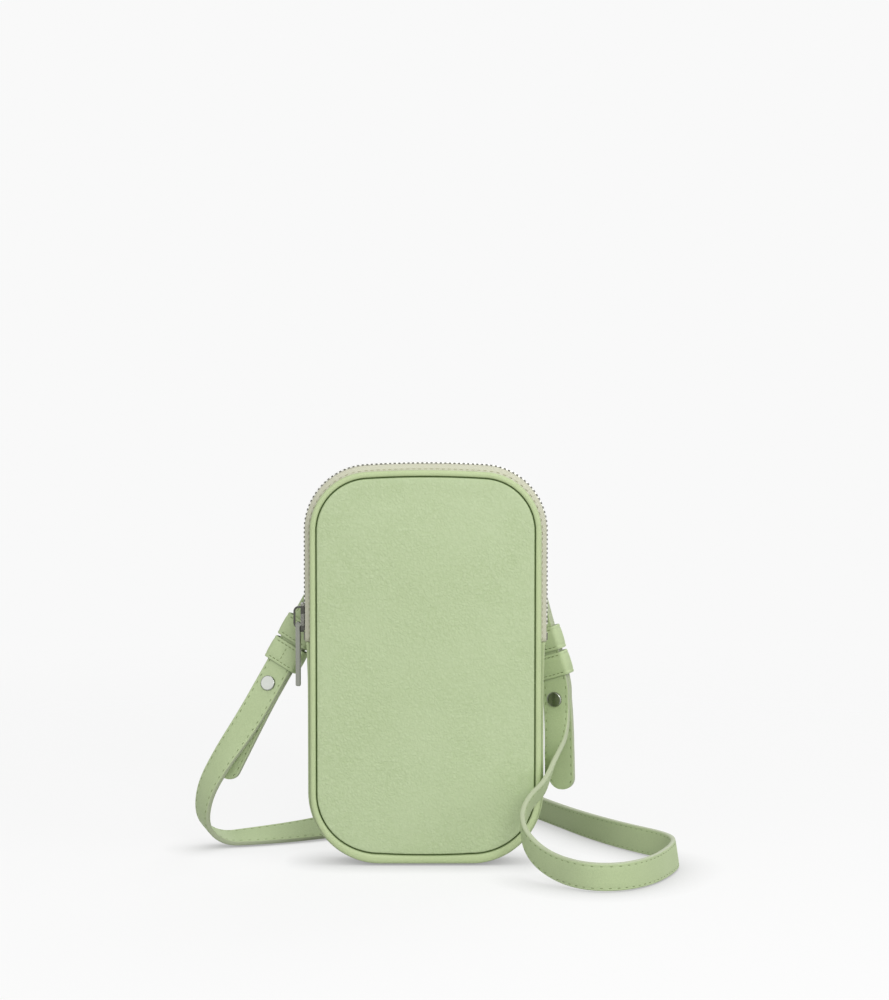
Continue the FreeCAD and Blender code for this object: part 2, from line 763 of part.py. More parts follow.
def build():
    front = -1
    back = 1
    gusset = below_fold(frame(gusset_offset - gusset_thickness, gusset_offset, -seam_y, seam_y))
    inside = gusset_offset - gusset_thickness
    nodes = {
        "front_panel_lower": below_fold(panel(front)),
        "front_panel_upper": above_fold(panel(front)),
        "back_panel": panel(back),
        "front_rim_lower": below_fold(rim(front)),
        "front_rim_upper": above_fold(rim(front)),
        "back_rim": rim(back),
        "gusset": gusset,
        "gusset_lining": below_fold(frame(inside - lining_thickness, inside, -seam_y, seam_y)),
        "front_board_lower": below_fold(board(front)),
        "front_board_upper": above_fold(board(front)),
        "back_board": board(back),
        "front_lining_lower": below_fold(lining(front)),
        "front_lining_upper": above_fold(lining(front)),
        "back_lining": lining(back),
        "zip_tape_front": zip_tape(front),
        "zip_tape_back": zip_tape(back),
        "zip_teeth_front": zip_teeth(front),
        "zip_teeth_back": zip_teeth(back),
        "zip_end_stops": end_stops(),
        "slider_body": slider_body(),
        "slider_crown": slider_crown(),
        "pull_pin": pull_pin(),
        "pull_tab": pull_tab(),
    }
    nodes.update(strap_nodes())
    for side in ("left", "right"):
        nodes["strap_loop_" + side] = strap_loop(side, loop_place)
        nodes["strap_keeper_" + side] = strap_loop(side, keeper_place)
        nodes["rivet_cap_" + side] = rivet_cap(side)
        nodes["rivet_post_" + side] = rivet_post(side)
        nodes["strap_ring_" + side] = ring(side)
        nodes["chape_" + side] = chape(side)
    return nodes


os.makedirs("parts", exist_ok=True)
for name, shape in build().items():
    shape.exportStep("parts/" + name + ".step")
    bounds = shape.BoundBox
    print(name, len(shape.Solids), shape.isValid(), round(shape.Volume, 1),
          [round(value, 2) for value in (bounds.XMin, bounds.XMax, bounds.YMin, bounds.YMax)],
          [round(value, 2) for value in (bounds.ZMin, bounds.ZMax)])
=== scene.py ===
import math
import bmesh
import bpy
import numpy as np
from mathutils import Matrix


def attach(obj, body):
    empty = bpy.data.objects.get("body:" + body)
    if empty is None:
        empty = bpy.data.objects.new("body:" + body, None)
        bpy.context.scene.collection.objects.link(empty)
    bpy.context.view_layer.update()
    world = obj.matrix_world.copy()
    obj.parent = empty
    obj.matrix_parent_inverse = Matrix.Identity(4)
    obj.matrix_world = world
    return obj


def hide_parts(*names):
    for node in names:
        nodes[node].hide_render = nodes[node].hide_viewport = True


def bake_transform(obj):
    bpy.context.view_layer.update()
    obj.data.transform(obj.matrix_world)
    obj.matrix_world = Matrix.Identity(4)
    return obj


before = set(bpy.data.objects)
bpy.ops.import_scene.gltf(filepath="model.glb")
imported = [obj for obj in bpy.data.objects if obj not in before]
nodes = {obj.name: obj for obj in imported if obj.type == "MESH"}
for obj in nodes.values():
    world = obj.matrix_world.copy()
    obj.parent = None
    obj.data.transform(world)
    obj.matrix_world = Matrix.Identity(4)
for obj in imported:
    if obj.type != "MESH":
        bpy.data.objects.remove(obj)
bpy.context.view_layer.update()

mm = 0.001
print("frame loaded:", len(nodes), "nodes")


# the camera's place is in mm, its tilt in degrees below level
cameraLook = {"place": (8.4, -1412.5, 260.7), "pitchDown": 3.95, "lens": 113.76, "clipStart": 0.05}

camera = bpy.data.objects.new("camera", bpy.data.cameras.new("camera"))
bpy.context.scene.collection.objects.link(camera)
camera.location = [value * mm for value in cameraLook["place"]]
camera.rotation_euler = (math.radians(90 - cameraLook["pitchDown"]), 0, 0)
camera.data.lens = cameraLook["lens"]
camera.data.clip_start = cameraLook["clipStart"]
bpy.context.scene.camera = camera
print("camera placed")


# tools for node trees: an input given an output is linked, and one given a value is set
def feed(tree, node, inputs):
    for socket, source in inputs.items():
        if hasattr(source, "is_linked"):
            tree.links.new(source, node.inputs[socket])
        else:
            node.inputs[socket].default_value = source


# a new shader node with its settings and inputs
def put(tree, kind, inputs=None, **values):
    node = tree.nodes.new("ShaderNode" + kind)
    for key, value in values.items():
        setattr(node, key, value)
    feed(tree, node, inputs or {})
    return node


# the first node of a kind that the tree already has
def findNode(tree, kind):
    return next(node for node in tree.nodes if node.type == kind)


# the next four are one sum, one sum of vectors and a mix of two values or colours by a factor
def mathNode(tree, operation, first, second=0.0):
    return put(tree, "Math", {0: first, 1: second}, operation=operation).outputs[0]


def vectorNode(tree, operation, first, second):
    return put(tree, "VectorMath", {0: first, 1: second}, operation=operation).outputs[0]


def valueMix(tree, factor, first, second):
    return put(tree, "Mix", {0: factor, 2: first, 3: second}).outputs[0]


def colourMix(tree, factor, first, second):
    return put(tree, "Mix", {0: factor, 6: first, 7: second}, data_type="RGBA").outputs[2]


# soft random value over the surface
def noise(tree, place, scale, detail, rough=0.5, output=0):
    return put(tree, "TexNoise",
               {"Vector": place, "Scale": scale, "Detail": detail, "Roughness": rough}).outputs[output]


# one range carried over to another, in a straight line or with soft ends
def ranged(tree, value, low, high, toLow=0.0, toHigh=1.0, kind="LINEAR"):
    return put(tree, "MapRange",
               {"Value": value, "From Min": low, "From Max": high, "To Min": toLow, "To Max": toHigh},
               interpolation_type=kind).outputs[0]


# a colour with nothing see-through
def rgb(values):
    return (*values, 1.0)


# inputs by name with a first value, or none for a vector; outputs are numbers
def newGroup(name, inputs, outputs):
    group = bpy.data.node_groups.new(name, "ShaderNodeTree")
    for label, value in inputs.items():
        kind = "NodeSocketVector" if value is None else "NodeSocketFloat"
        socket = group.interface.new_socket(label, in_out="INPUT", socket_type=kind)
        if value is not None:
            socket.default_value = value
    for label in outputs:
        group.interface.new_socket(label, in_out="OUTPUT", socket_type="NodeSocketFloat")
    return group, group.nodes.new("NodeGroupInput"), group.nodes.new("NodeGroupOutput")


# scales are per metre
grainSizes = {
    "warpScale": 330.0, "warpReach": 0.9 * mm, "speckRange": (0.33, 0.67), "speckRough": 0.6,
    "speckShare": 0.6, "fineScale": 5200.0, "fineShare": 0.12, "foldScale": 210.0, "patchScale": 45.0,
    "patchRange": (0.35, 0.65, 0.65, 1.0), "driftScale": 28.0, "driftRange": (0.3, 0.7),
}


# leather grain: warped cells with soft creases, mixed with specks and deeper in patches, plus slow folds
# and a fine tooth; the drift is a slow change of tone
def leatherGrainGroup(s):
    group, given, out = newGroup(
        "leatherGrain", {"Vector": None, "Cells": 1500.0, "Crease": 0.2}, ("Height", "Pits", "Drift"))
    place = given.outputs["Vector"]
    scale = given.outputs["Cells"]
    warp = noise(group, place, s["warpScale"], 2.0, output="Color")
    moved = vectorNode(group, "ADD", place, vectorNode(group, "MULTIPLY", warp, [s["warpReach"]] * 3))
    cells = put(group, "TexVoronoi", {"Vector": moved, "Scale": scale}, feature="DISTANCE_TO_EDGE")
    pebble = ranged(group, cells.outputs["Distance"], 0.0, given.outputs["Crease"], kind="SMOOTHSTEP")
    specks = ranged(group, noise(group, place, scale, 3.0, s["speckRough"]), *s["speckRange"])
    pebble = valueMix(group, s["speckShare"], pebble, specks)
    depth = ranged(group, noise(group, place, s["patchScale"], 1.0), *s["patchRange"])
    fine = mathNode(group, "MULTIPLY", noise(group, place, s["fineScale"], 2.0), s["fineShare"])
    height = mathNode(group, "ADD", fine, mathNode(group, "MULTIPLY", pebble, depth))
    height = mathNode(group, "ADD", height, noise(group, place, s["foldScale"], 3.0))
    pits = mathNode(group, "MULTIPLY", mathNode(group, "SUBTRACT", 1.0, pebble), depth)
    drift = ranged(group, noise(group, place, s["driftScale"], 2.0), *s["driftRange"])
    feed(group, out, {"Height": height, "Pits": pits, "Drift": drift})
    return group


# plain weave on the piece's own map: two sets of threads that pass over each other in turn
def threadWeaveGroup():
    group, given, out = newGroup("threadWeave", {"Map": None, "Pitch": 0.5}, ("Height", "Gaps"))
    split = put(group, "SeparateXYZ", {0: given.outputs["Map"]})
    turn = mathNode(group, "DIVIDE", math.pi, given.outputs["Pitch"])
    along = mathNode(group, "MULTIPLY", split.outputs[0], turn)
    across = mathNode(group, "MULTIPLY", split.outputs[1], turn)
    lean = mathNode(group, "ADD", along, across)
    warpThread = mathNode(group, "ABSOLUTE", mathNode(group, "SINE", across))
    weftThread = mathNode(group, "ABSOLUTE", mathNode(group, "SINE", along))
    over = mathNode(group, "GREATER_THAN", mathNode(group, "SINE", lean), 0.0)
    height = valueMix(group, over, warpThread, weftThread)
    feed(group, out, {"Height": height, "Gaps": mathNode(group, "SUBTRACT", 1.0, height)})
    return group


brushSizes = {"drawnOut": (1.0, 1.0, 0.06), "streakScale": 4200.0, "cloudScale": 260.0}


# fine scratches drawn out one way, over a slow cloudiness
def brushedGroup(s):
    group, given, out = newGroup("brushedSkin", {"Vector": None}, ("Streaks", "Cloud"))
    place = given.outputs["Vector"]
    drawn = vectorNode(group, "MULTIPLY", place, s["drawnOut"])
    feed(group, out, {"Streaks": noise(group, drawn, s["streakScale"], 2.0),
                      "Cloud": noise(group, place, s["cloudScale"], 2.0)})
    return group


leatherGrain = leatherGrainGroup(grainSizes)
threadWeave = threadWeaveGroup()
brushedSkin = brushedGroup(brushSizes)


# a material with its tree and its shader
def newMaterial(name):
    material = bpy.data.materials.new(name)
    material.use_nodes = True
    return material, material.node_tree, findNode(material.node_tree, "BSDF_PRINCIPLED")


# the mask makes the surface rougher, the height bumps it, and plain values are the same all over
def dress(tree, shader, look, tone, mask, height):
    rough = ranged(tree, mask, 0.0, 1.0, look["rough"], look["rough"] + look["rougher"])
    bump = put(tree, "Bump",
               {"Strength": look["bump"], "Distance": look["relief"] * mm, "Height": height})
    feed(tree, shader, {"Base Color": tone, "Roughness": rough, "Normal": bump.outputs[0], **look["plain"]})


# leather: tone drifts between two greens, creases are deeper, and painted shade from the seamShade attribute
# darkens grooves, seams and sleeve ends deepest
def leatherMaterial(name, look):
    material, tree, shader = newMaterial(name)
    place = put(tree, "TexCoord").outputs["Object"]
    grain = put(tree, "Group", {"Vector": place, "Cells": look["cells"], "Crease": look["crease"]},
                node_tree=leatherGrain)
    pits = grain.outputs["Pits"]
    tone = colourMix(tree, grain.outputs["Drift"], rgb(look["light"]), rgb(look["deep"]))
    tone = colourMix(tree, mathNode(tree, "MULTIPLY", pits, look["pitShare"]), tone, rgb(look["pit"]))
    # painted shade: the seamShade attribute mixes in the dark seam green where shade falls in grooves, along
    # seams and at sleeve ends
    seam = put(tree, "Attribute", attribute_name="seamShade")
    tone = colourMix(tree, seam.outputs["Fac"], tone, rgb(look["seam"]))
    dress(tree, shader, look, tone, pits, grain.outputs["Height"])
    return material


# woven cloth: threads on the map, darker between them
def clothMaterial(name, look):
    material, tree, shader = newMaterial(name)
    place = put(tree, "UVMap", uv_map="threadMap").outputs[0]
    weave = put(tree, "Group", {"Map": place, "Pitch": look["pitch"] * mm}, node_tree=threadWeave)
    gaps = weave.outputs["Gaps"]
    share = mathNode(tree, "MULTIPLY", gaps, look["gapShare"])
    tone = colourMix(tree, share, rgb(look["thread"]), rgb(look["gap"]))
    dress(tree, shader, look, tone, gaps, weave.outputs["Height"])
    return material


# metal: streaks in the roughness and a faint cloud in the colour
def metalMaterial(name, look):
    material, tree, shader = newMaterial(name)
    place = put(tree, "TexCoord").outputs["Object"]
    skin = put(tree, "Group", {"Vector": place}, node_tree=brushedSkin)
    tone = colourMix(tree, skin.outputs["Cloud"], rgb(look["bright"]), rgb(look["dull"]))
    dress(tree, shader, look, tone, skin.outputs["Streaks"], skin.outputs["Streaks"])
    return material


# tooth metal: bright where the two rows mesh, dark on the legs that grip the cloth, a painted shade under the
# tape's edge
def toothMaterial(name, look):
    material, tree, shader = newMaterial(name)
    split = put(tree, "SeparateXYZ", {0: put(tree, "TexCoord").outputs["Object"]})
    reach = mathNode(tree, "ABSOLUTE", split.outputs[1])
    legShade = ranged(tree, reach, look["headEnd"] * mm, look["legStart"] * mm)
    tone = colourMix(tree, legShade, rgb(look["head"]), rgb(look["leg"]))
    feed(tree, shader, {"Base Color": tone, **look["plain"]})
    return material


# seam is the dark green of painted shade, given by the seamShade attribute in grooves, along seams and at
# sleeve ends
panelLook = {
    "light": (0.497, 0.592, 0.361), "deep": (0.483, 0.578, 0.346), "pit": (0.38, 0.48, 0.247),
    "seam": (0.06, 0.115, 0.012), "pitShare": 0.55, "cells": 600.0, "crease": 0.4,
    "bump": 0.85, "relief": 0.2, "rough": 0.5, "rougher": 0.2, "plain": {"Specular IOR Level": 0.4},
}
threadLook = dict(panelLook, light=(0.23, 0.29, 0.13), deep=(0.20, 0.255, 0.11), pit=(0.14, 0.19, 0.075),
                  cells=3200.0, bump=0.3, rough=0.6)
leatherLooks = {
    "panelLeather": panelLook,
    "rimLeather": dict(panelLook, light=(0.52, 0.615, 0.345), deep=(0.50, 0.595, 0.325), cells=1300.0,
                       bump=0.3, rough=0.42),
    # the strap's greens are a little lighter than the panel's: painted light that makes up for the shade
    # round the strap
    "strapLeather": dict(panelLook, light=(0.53, 0.63, 0.37), deep=(0.51, 0.61, 0.35), cells=1400.0,
                         bump=0.3),
    "edgePaint": dict(panelLook, light=(0.45, 0.51, 0.33), deep=(0.41, 0.47, 0.295), pit=(0.44, 0.48, 0.35),
                      cells=2200.0, bump=0.15, rough=0.42),
    "threadCord": threadLook,
    "innerThread": dict(threadLook, light=(0.32, 0.4, 0.2), deep=(0.28, 0.36, 0.17), pit=(0.2, 0.27, 0.11)),
    "seamThread": dict(threadLook, light=(0.5, 0.5, 0.31), deep=(0.44, 0.44, 0.26), pit=(0.32, 0.32, 0.18)),
}
tapeLook = {
    "thread": (0.66, 0.66, 0.52), "gap": (0.42, 0.42, 0.31), "gapShare": 0.6, "pitch": 0.45, "bump": 0.5,
    "relief": 0.12, "rough": 0.7, "rougher": 0.25, "plain": {"Specular IOR Level": 0.2},
}
liningLook = dict(tapeLook, thread=(0.50, 0.52, 0.40), gap=(0.33, 0.35, 0.25), pitch=0.6)
hardwareLook = {
    "bright": (0.36, 0.37, 0.345), "dull": (0.31, 0.32, 0.295), "rough": 0.16, "rougher": 0.14,
    "bump": 0.15, "relief": 0.01, "plain": {"Metallic": 1.0},
}
pullLook = dict(hardwareLook, bright=(0.30, 0.31, 0.272), dull=(0.272, 0.282, 0.245), rough=0.22,
                rougher=0.05)
sliderLook = dict(pullLook, bright=(0.11, 0.11, 0.098), dull=(0.08, 0.08, 0.07), rough=0.2)
# leg is the dark of painted shade on the teeth's legs, head their bright metal
toothLook = {
    "leg": (0.15, 0.15, 0.135), "head": (0.92, 0.92, 0.88), "headEnd": 0.9, "legStart": 1.6,
    "plain": {"Roughness": 0.38, "Metallic": 1.0},
}

panelLeather, rimLeather, strapLeather, edgePaint, threadCord, innerThread, seamThread = (
    leatherMaterial(name, look) for name, look in leatherLooks.items())
tapeCloth = clothMaterial("tapeCloth", tapeLook)
liningCloth = clothMaterial("liningCloth", liningLook)
toothMetal = toothMaterial("toothMetal", toothLook)
hardwareMetal = metalMaterial("hardwareMetal", hardwareLook)
pullMetal = metalMaterial("pullMetal", pullLook)
sliderMetal = metalMaterial("sliderMetal", sliderLook)
print("materials made")


# quads of a grid, with the row and column of each corner before it wraps round
def gridQuads(rows, cols, closeRows=False, closeCols=False):
    r, c = np.meshgrid(np.arange(rows if closeRows else rows - 1),
                       np.arange(cols if closeCols else cols - 1), indexing="ij")
    cornerRow = np.stack([r, r + 1, r + 1, r], -1).reshape(-1, 4)
    cornerCol = np.stack([c, c, c + 1, c + 1], -1).reshape(-1, 4)
    return (cornerRow % rows) * cols + cornerCol % cols, cornerRow, cornerCol


weldReach = 0.002  # mm


# a piece from points in mm and faces, welded where rows meet, with its faces turned outwards; a given shade
# is stored as the seamShade attribute, painted shade in the leather's colour
def makePiece(name, points, faces, materials, slot, weld=True, faceMaterials=None, shade=None, uv=None):
    mesh = bpy.data.meshes.new(name)
    mesh.from_pydata((points.reshape(-1, 3) * mm).tolist(), [], [list(face) for face in faces])
    for material in materials:
        mesh.materials.append(material)
    if faceMaterials is not None:
        mesh.polygons.foreach_set("material_index", faceMaterials)
    if shade is not None:
        # painted shade, point by point, which the leather materials mix into their colour
        depth = mesh.attributes.new("seamShade", "FLOAT", "POINT")
        spread = np.broadcast_to(shade, points.shape[:-1])
        depth.data.foreach_set("value", spread.ravel().astype(np.float32))
    if uv is not None:
        mesh.uv_layers.new(name="threadMap").data.foreach_set("uv", (uv * mm).astype(np.float32).ravel())
    shell = bmesh.new()
    shell.from_mesh(mesh)
    if weld:
        bmesh.ops.remove_doubles(shell, verts=shell.verts, dist=weldReach * mm)
    bmesh.ops.recalc_face_normals(shell, faces=shell.faces)
    shell.to_mesh(mesh)
    shell.free()
    mesh.polygons.foreach_set("use_smooth", np.ones(len(mesh.polygons), bool))
    mesh.update()
    piece = bpy.data.objects.new(name, mesh)
    bpy.context.scene.collection.objects.link(piece)
    return piece


# fans that close the two ends of an open tube of rows
def endFans(rows, cols, total):
    ring = np.arange(cols)
    after = (ring + 1) % cols
    far = (rows - 1) * cols
    first = np.stack([ring, after, np.full(cols, total)], -1)
    last = np.stack([ring + far, after + far, np.full(cols, total + 1)], -1)
    return first.tolist() + last.tolist()


# route of the strap's middle line from the left ring to the right ring, in metres
strapRoute = np.array([
    (-0.04385, 0.0158, 0.1271), (-0.05123, 0.017, 0.11407), (-0.07046, 0.017, 0.08006),
    (-0.08124, 0.017, 0.061), (-0.0935, 0.019, 0.043),
    (-0.102, 0.024, 0.027), (-0.1035, 0.031, 0.0115), (-0.095, 0.038, 0.0032), (-0.082, 0.041, 0.0037),
    (-0.065, 0.048, 0.0043), (-0.05, 0.056, 0.0051), (-0.022, 0.076, 0.0066), (0.0055, 0.102, 0.0066),
    (0.026, 0.127, 0.0066), (0.047, 0.123, 0.0066), (0.061, 0.087, 0.0066), (0.076, 0.0525, 0.0066),
    (0.0925, 0.0235, 0.0066), (0.1083, 0.002, 0.0066), (0.1123, -0.014, 0.0066), (0.1079, -0.035, 0.0066),
    (0.098, -0.06, 0.0066), (0.084, -0.075, 0.0066), (0.068, -0.074, 0.0067), (0.055, -0.058, 0.008),
    (0.0456, -0.047, 0.014), (0.0419, -0.0387, 0.0228), (0.0452, -0.0288, 0.0306), (0.0538, -0.0168, 0.0373),
    (0.0573, -0.001, 0.0455), (0.0592, 0.0115, 0.053), (0.0598, 0.017, 0.06236), (0.0594, 0.0172, 0.0715),
    (0.05925, 0.01615, 0.07951), (0.0509, 0.01759, 0.1062), (0.04604, 0.0158, 0.12555),
])
# the way the strap's width lies at each of those points, and through the sleeves at either end
leftLay = (0.807, -0.375, -0.456)
rightLay = (-0.89, 0.423, -0.173)
strapLay = np.array([
    (0.87, 0.0, -0.492), leftLay, leftLay, leftLay,
    (0.66, -0.66, -0.35), (0.55, -0.8, -0.28), (0.42, -0.88, -0.22), (0.3, -0.93, -0.24), (0.25, -0.9, -0.36),
    (0.3, -0.82, -0.48), (0.35, -0.72, -0.6), (0.2, -0.3, -0.94), (0.0, 0.0, -1.0), (0.0, 0.1, -1.0),
    (0.1, 0.3, -0.94), (0.15, 0.35, -0.92), (0.1, 0.2, -0.97), (0.05, 0.05, -1.0), (0.1, 0.0, -0.99),
    (0.16, 0.0, -0.98), (0.12, 0.05, -0.98), (0.05, 0.15, -0.98), (0.0, 0.2, -0.98), (0.0, 0.2, -0.98),
    (0.05, 0.25, -0.95), (0.0, 0.45, -0.88), (0.05, 0.75, -0.65), (0.1, 0.88, -0.46), (0.1, 0.9, -0.4),
    (-0.25, 0.87, -0.4), (-0.72, 0.64, -0.27), rightLay, rightLay, rightLay, rightLay, (-0.94, 0.0, -0.342),
])
strapSizes = {
    "width": 12.5, "thickness": 2.4, "stitchInset": 1.25, "stitchPitch": 3.8, "stitchLength": 1.3,
    "stitchLift": 0.44, "stitchFrom": 3.0, "tipTurns": (-66.0, -22.0, 22.0, 66.0),
}


# points of one smooth spline with these control points, read back from a bare curve
def splinePoints(control, resolution):
    curve = bpy.data.curves.new("line", "CURVE")
    curve.dimensions = "3D"
    spline = curve.splines.new("NURBS")
    spline.points.add(len(control) - 1)
    spline.points.foreach_set("co", np.c_[control, np.ones(len(control))].ravel())
    spline.order_u = 3
    spline.use_endpoint_u = True
    spline.resolution_u = resolution
    holder = bpy.data.objects.new("line", curve)
    bpy.context.scene.collection.objects.link(holder)
    chain = bpy.data.meshes.new_from_object(holder)
    found = np.empty(len(chain.vertices) * 3)
    chain.vertices.foreach_get("co", found)
    bpy.data.objects.remove(holder)
    bpy.data.curves.remove(curve)
    bpy.data.meshes.remove(chain)
    return found.reshape(-1, 3)


# each row divided by its length
def unit(rows):
    return rows / np.linalg.norm(rows, axis=-1, keepdims=True)


# distance along a row of points, from nought at the first
def runLength(points):
    return np.r_[0.0, np.cumsum(np.linalg.norm(np.diff(points, axis=0), axis=1))]


# middle line, way, width direction and face direction of a band, in mm, from two splines side by side
def bandFrames(control, lay, resolution=10):
    middle = splinePoints(control, resolution) / mm
    beside = splinePoints(control + lay * mm, resolution) / mm
    way = unit(np.gradient(middle, axis=0))
    across = beside - middle
    across = unit(across - way * np.sum(across * way, axis=1, keepdims=True))
    return {"middle": middle, "way": way, "across": across, "face": np.cross(way, across)}


# the same frames at chosen distances along the band
def framesAt(frames, distances):
    length = runLength(frames["middle"])
    moved = {key: np.stack([np.interp(distances, length, rows[:, axis]) for axis in range(3)], -1)
             for key, rows in frames.items()}
    for key in ("way", "across", "face"):
        moved[key] = unit(moved[key])
    return moved


# a quarter of a band's section, as shares of its half width and half thickness; the dips take the stitches
bandSection = {
    "across": np.array([0.0, 0.3, 0.6, 0.72, 0.8, 0.87, 0.92, 0.96, 0.987, 1.0]),
    "up": np.array([1.0, 1.0, 0.99, 0.95, 0.86, 0.93, 0.93, 0.85, 0.68, 0.42]),
    "paintFrom": 7,
}


# a flat band: its section is carried along the frames, narrowed towards the tip where asked
def bandPiece(name, frames, s, narrow=1.0):
    middle = frames["middle"]
    shares = np.stack([bandSection["across"], bandSection["up"]], -1)
    quarter = shares * (s["width"], s["thickness"]) / 2
    half = np.vstack([quarter, (quarter * (1, -1))[::-1]])
    section = np.vstack([half, (half * (-1, 1))[::-1][1:-1]])
    rows = len(middle)
    cols = len(section)
    sideways = np.outer(np.broadcast_to(narrow, rows), section[:, 0])[..., None]
    points = middle[:, None] + frames["across"][:, None] * sideways + frames["face"][:, None] * section[:, 1:]
    quads, _, cornerCol = gridQuads(rows, cols, closeCols=True)
    faces = quads.tolist() + endFans(rows, cols, rows * cols)
    edge = bandSection["paintFrom"]
    column = np.minimum(cornerCol[:, 0] % cols, (cols - 1 - cornerCol[:, 0]) % cols)
    painted = (column >= edge) & (column < 2 * len(quarter) - 1 - edge)
    faceMaterials = np.concatenate([painted.astype(np.int32), np.ones(2 * cols, np.int32)])
    allPoints = np.vstack([points.reshape(-1, 3), middle[[0, -1]]])
    return makePiece(name, allPoints, faces, [strapLeather, edgePaint], "strap_leather", weld=False,
                     faceMaterials=faceMaterials)


# stations along a stitch and its girth at each, as shares of its half length and half width
stitchSizes = {
    "reach": np.array([-1.0, -0.82, 0.0, 0.82, 1.0]), "girth": np.array([0.4, 0.85, 1.0, 0.85, 0.4]),
    "sides": 6, "flat": 0.8, "length": 1.3, "half": 0.18,
}


# short plump stitches: one rounded bar set down at each place, along, across and up from the leather
def stitchPiece(name, places, along, up, length=stitchSizes["length"], half=stitchSizes["half"],
                thread=threadCord, slot="strap_leather"):
    s = stitchSizes
    sides = s["sides"]
    stations = len(s["reach"])
    turn = np.arange(sides) * 2 * math.pi / sides
    reach = np.repeat(s["reach"][:, None] * length / 2, sides, 1)
    girth = s["girth"][:, None] * half
    bar = np.stack([reach, girth * np.cos(turn), girth * np.sin(turn) * s["flat"]], -1)
    points = places[:, None] + bar.reshape(-1, 3) @ np.stack([along, np.cross(up, along), up], 1)
    quads, _, _ = gridQuads(stations, sides, closeCols=True)
    caps = np.array([np.arange(sides)[::-1], np.arange(sides) + (stations - 1) * sides])
    shift = (np.arange(len(places)) * stations * sides)[:, None, None]
    faces = (quads + shift).reshape(-1, 4).tolist() + (caps + shift).reshape(-1, sides).tolist()
    return makePiece(name, points, faces, [thread], slot, weld=False)


# rows of stitches along one face of a band, near both edges, and round its tip where it has one
def bandStitches(name, frames, start, end, s, face, thread=threadCord, tip=0.0):
    count = max(2, int((end - start) / s["stitchPitch"]))
    distance = start + (np.arange(count) + 0.5) * (end - start) / count
    turn = np.radians(s["tipTurns"]) if tip else np.zeros(0)
    reach = s["width"] / 2 - s["stitchInset"]
    tipReach = tip - s["stitchInset"]
    at = framesAt(frames, np.r_[distance, distance, end + tipReach * np.cos(turn)])
    aside = np.r_[np.full(count, reach), np.full(count, -reach), reach * np.sin(turn)][:, None]
    runs = np.r_[np.ones(2 * count), -np.sin(turn) * tipReach][:, None]
    leans = np.r_[np.zeros(2 * count), np.cos(turn) * reach][:, None]
    up = at["face"] * face
    places = at["middle"] + at["across"] * aside + up * s["thickness"] * s["stitchLift"]
    return stitchPiece(name, places, unit(at["way"] * runs + at["across"] * leans), up, s["stitchLength"],
                       thread=thread)


strapFrames = bandFrames(strapRoute, strapLay)
strapLength = runLength(strapFrames["middle"])[-1]
strap = bandPiece("strap", strapFrames, strapSizes)
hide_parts("strap_left", "strap_floor", "strap_right")
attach(strap, "pouch")
stitched = (strapSizes["stitchFrom"], strapLength - strapSizes["stitchFrom"])
strapStitching = [bandStitches("strap_stitching_outer", strapFrames, *stitched, strapSizes, 1),
                  bandStitches("strap_stitching_inner", strapFrames, *stitched, strapSizes, -1, innerThread)]
for piece in strapStitching:
    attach(piece, "pouch")
print("strap:", round(strapLength), "mm")


# where each end of the strap runs, in mm and degrees
endSizes = {
    "left": {"ring": np.array((-43.85, 15.8, 127.1)), "bend": np.array((-51.23, 17.0, 114.07)),
             "foot": np.array((-81.24, 17.0, 61.0)), "lay": leftLay, "ringLay": (0.87, 0.0, -0.492),
             "length": 49.0, "lean": 0.0, "swing": 5.5, "tilt": 0.0, "shift": 0.0},
    "right": {"ring": np.array((46.04, 15.8, 125.55)), "bend": np.array((51.17, 17.0, 111.46)),
              "foot": np.array((60.72, 17.0, 62.36)), "lay": (0.89, -0.423, 0.173),
              "ringLay": (0.94, 0.0, 0.342), "length": 42.0, "lean": -6.6, "swing": 0.0, "tilt": 7.0,
              "shift": 0.4},
}
tailSizes = {
    "rivetBelowBend": 41.0, "tiltHeight": 21.25, "gap": 0.3, "tip": 5.6, "foldRadius": 2.5,
    "through": ((0.7, 40.0), (0.0, 34.0), (0.0, 8.0)), "below": -6.0, "belowLean": 0.03, "midway": 0.5,
    "midLean": 0.4, "midSwing": 0.35, "stitchAbove": 4.0, "tipFrom": 0.03, "tipWidth": 0.1, "bodyRows": 90,
    "tipRows": 12, "resolution": 12,
}


# frame with its rows across, back and up; the first is made square to the last
def frameOf(origin, lay, up):
    across = unit(np.array(lay) - up * np.dot(lay, up))
    return {"origin": origin, "axes": np.stack([across, np.cross(up, across), up])}


# origin at the rivet, up the strap's run
def endFrame(sizes):
    up = unit(sizes["bend"] - sizes["foot"])
    return frameOf(sizes["bend"] - up * tailSizes["rivetBelowBend"], sizes["lay"], up)


# the same frame leant over in the strap's own plane about a point between the sleeves
def sleeveFrame(sizes):
    local = endFrame(sizes)
    across, _, up = local["axes"]
    tilt = math.radians(sizes["tilt"])
    leant = up * math.cos(tilt) - across * math.sin(tilt)
    height = tailSizes["tiltHeight"]
    return frameOf(local["origin"] + up * height + across * sizes["shift"] - leant * height, across, leant)


# origin at the ring's lower bar, up in line with the strap's last run
def ringFrame(sizes):
    return frameOf(sizes["ring"], sizes["ringLay"], unit(sizes["ring"] - sizes["bend"]))


# the frame's origin plus its axes times the point's three parts
def placeIn(local, points):
    return local["origin"] + np.asarray(points, float) @ local["axes"]


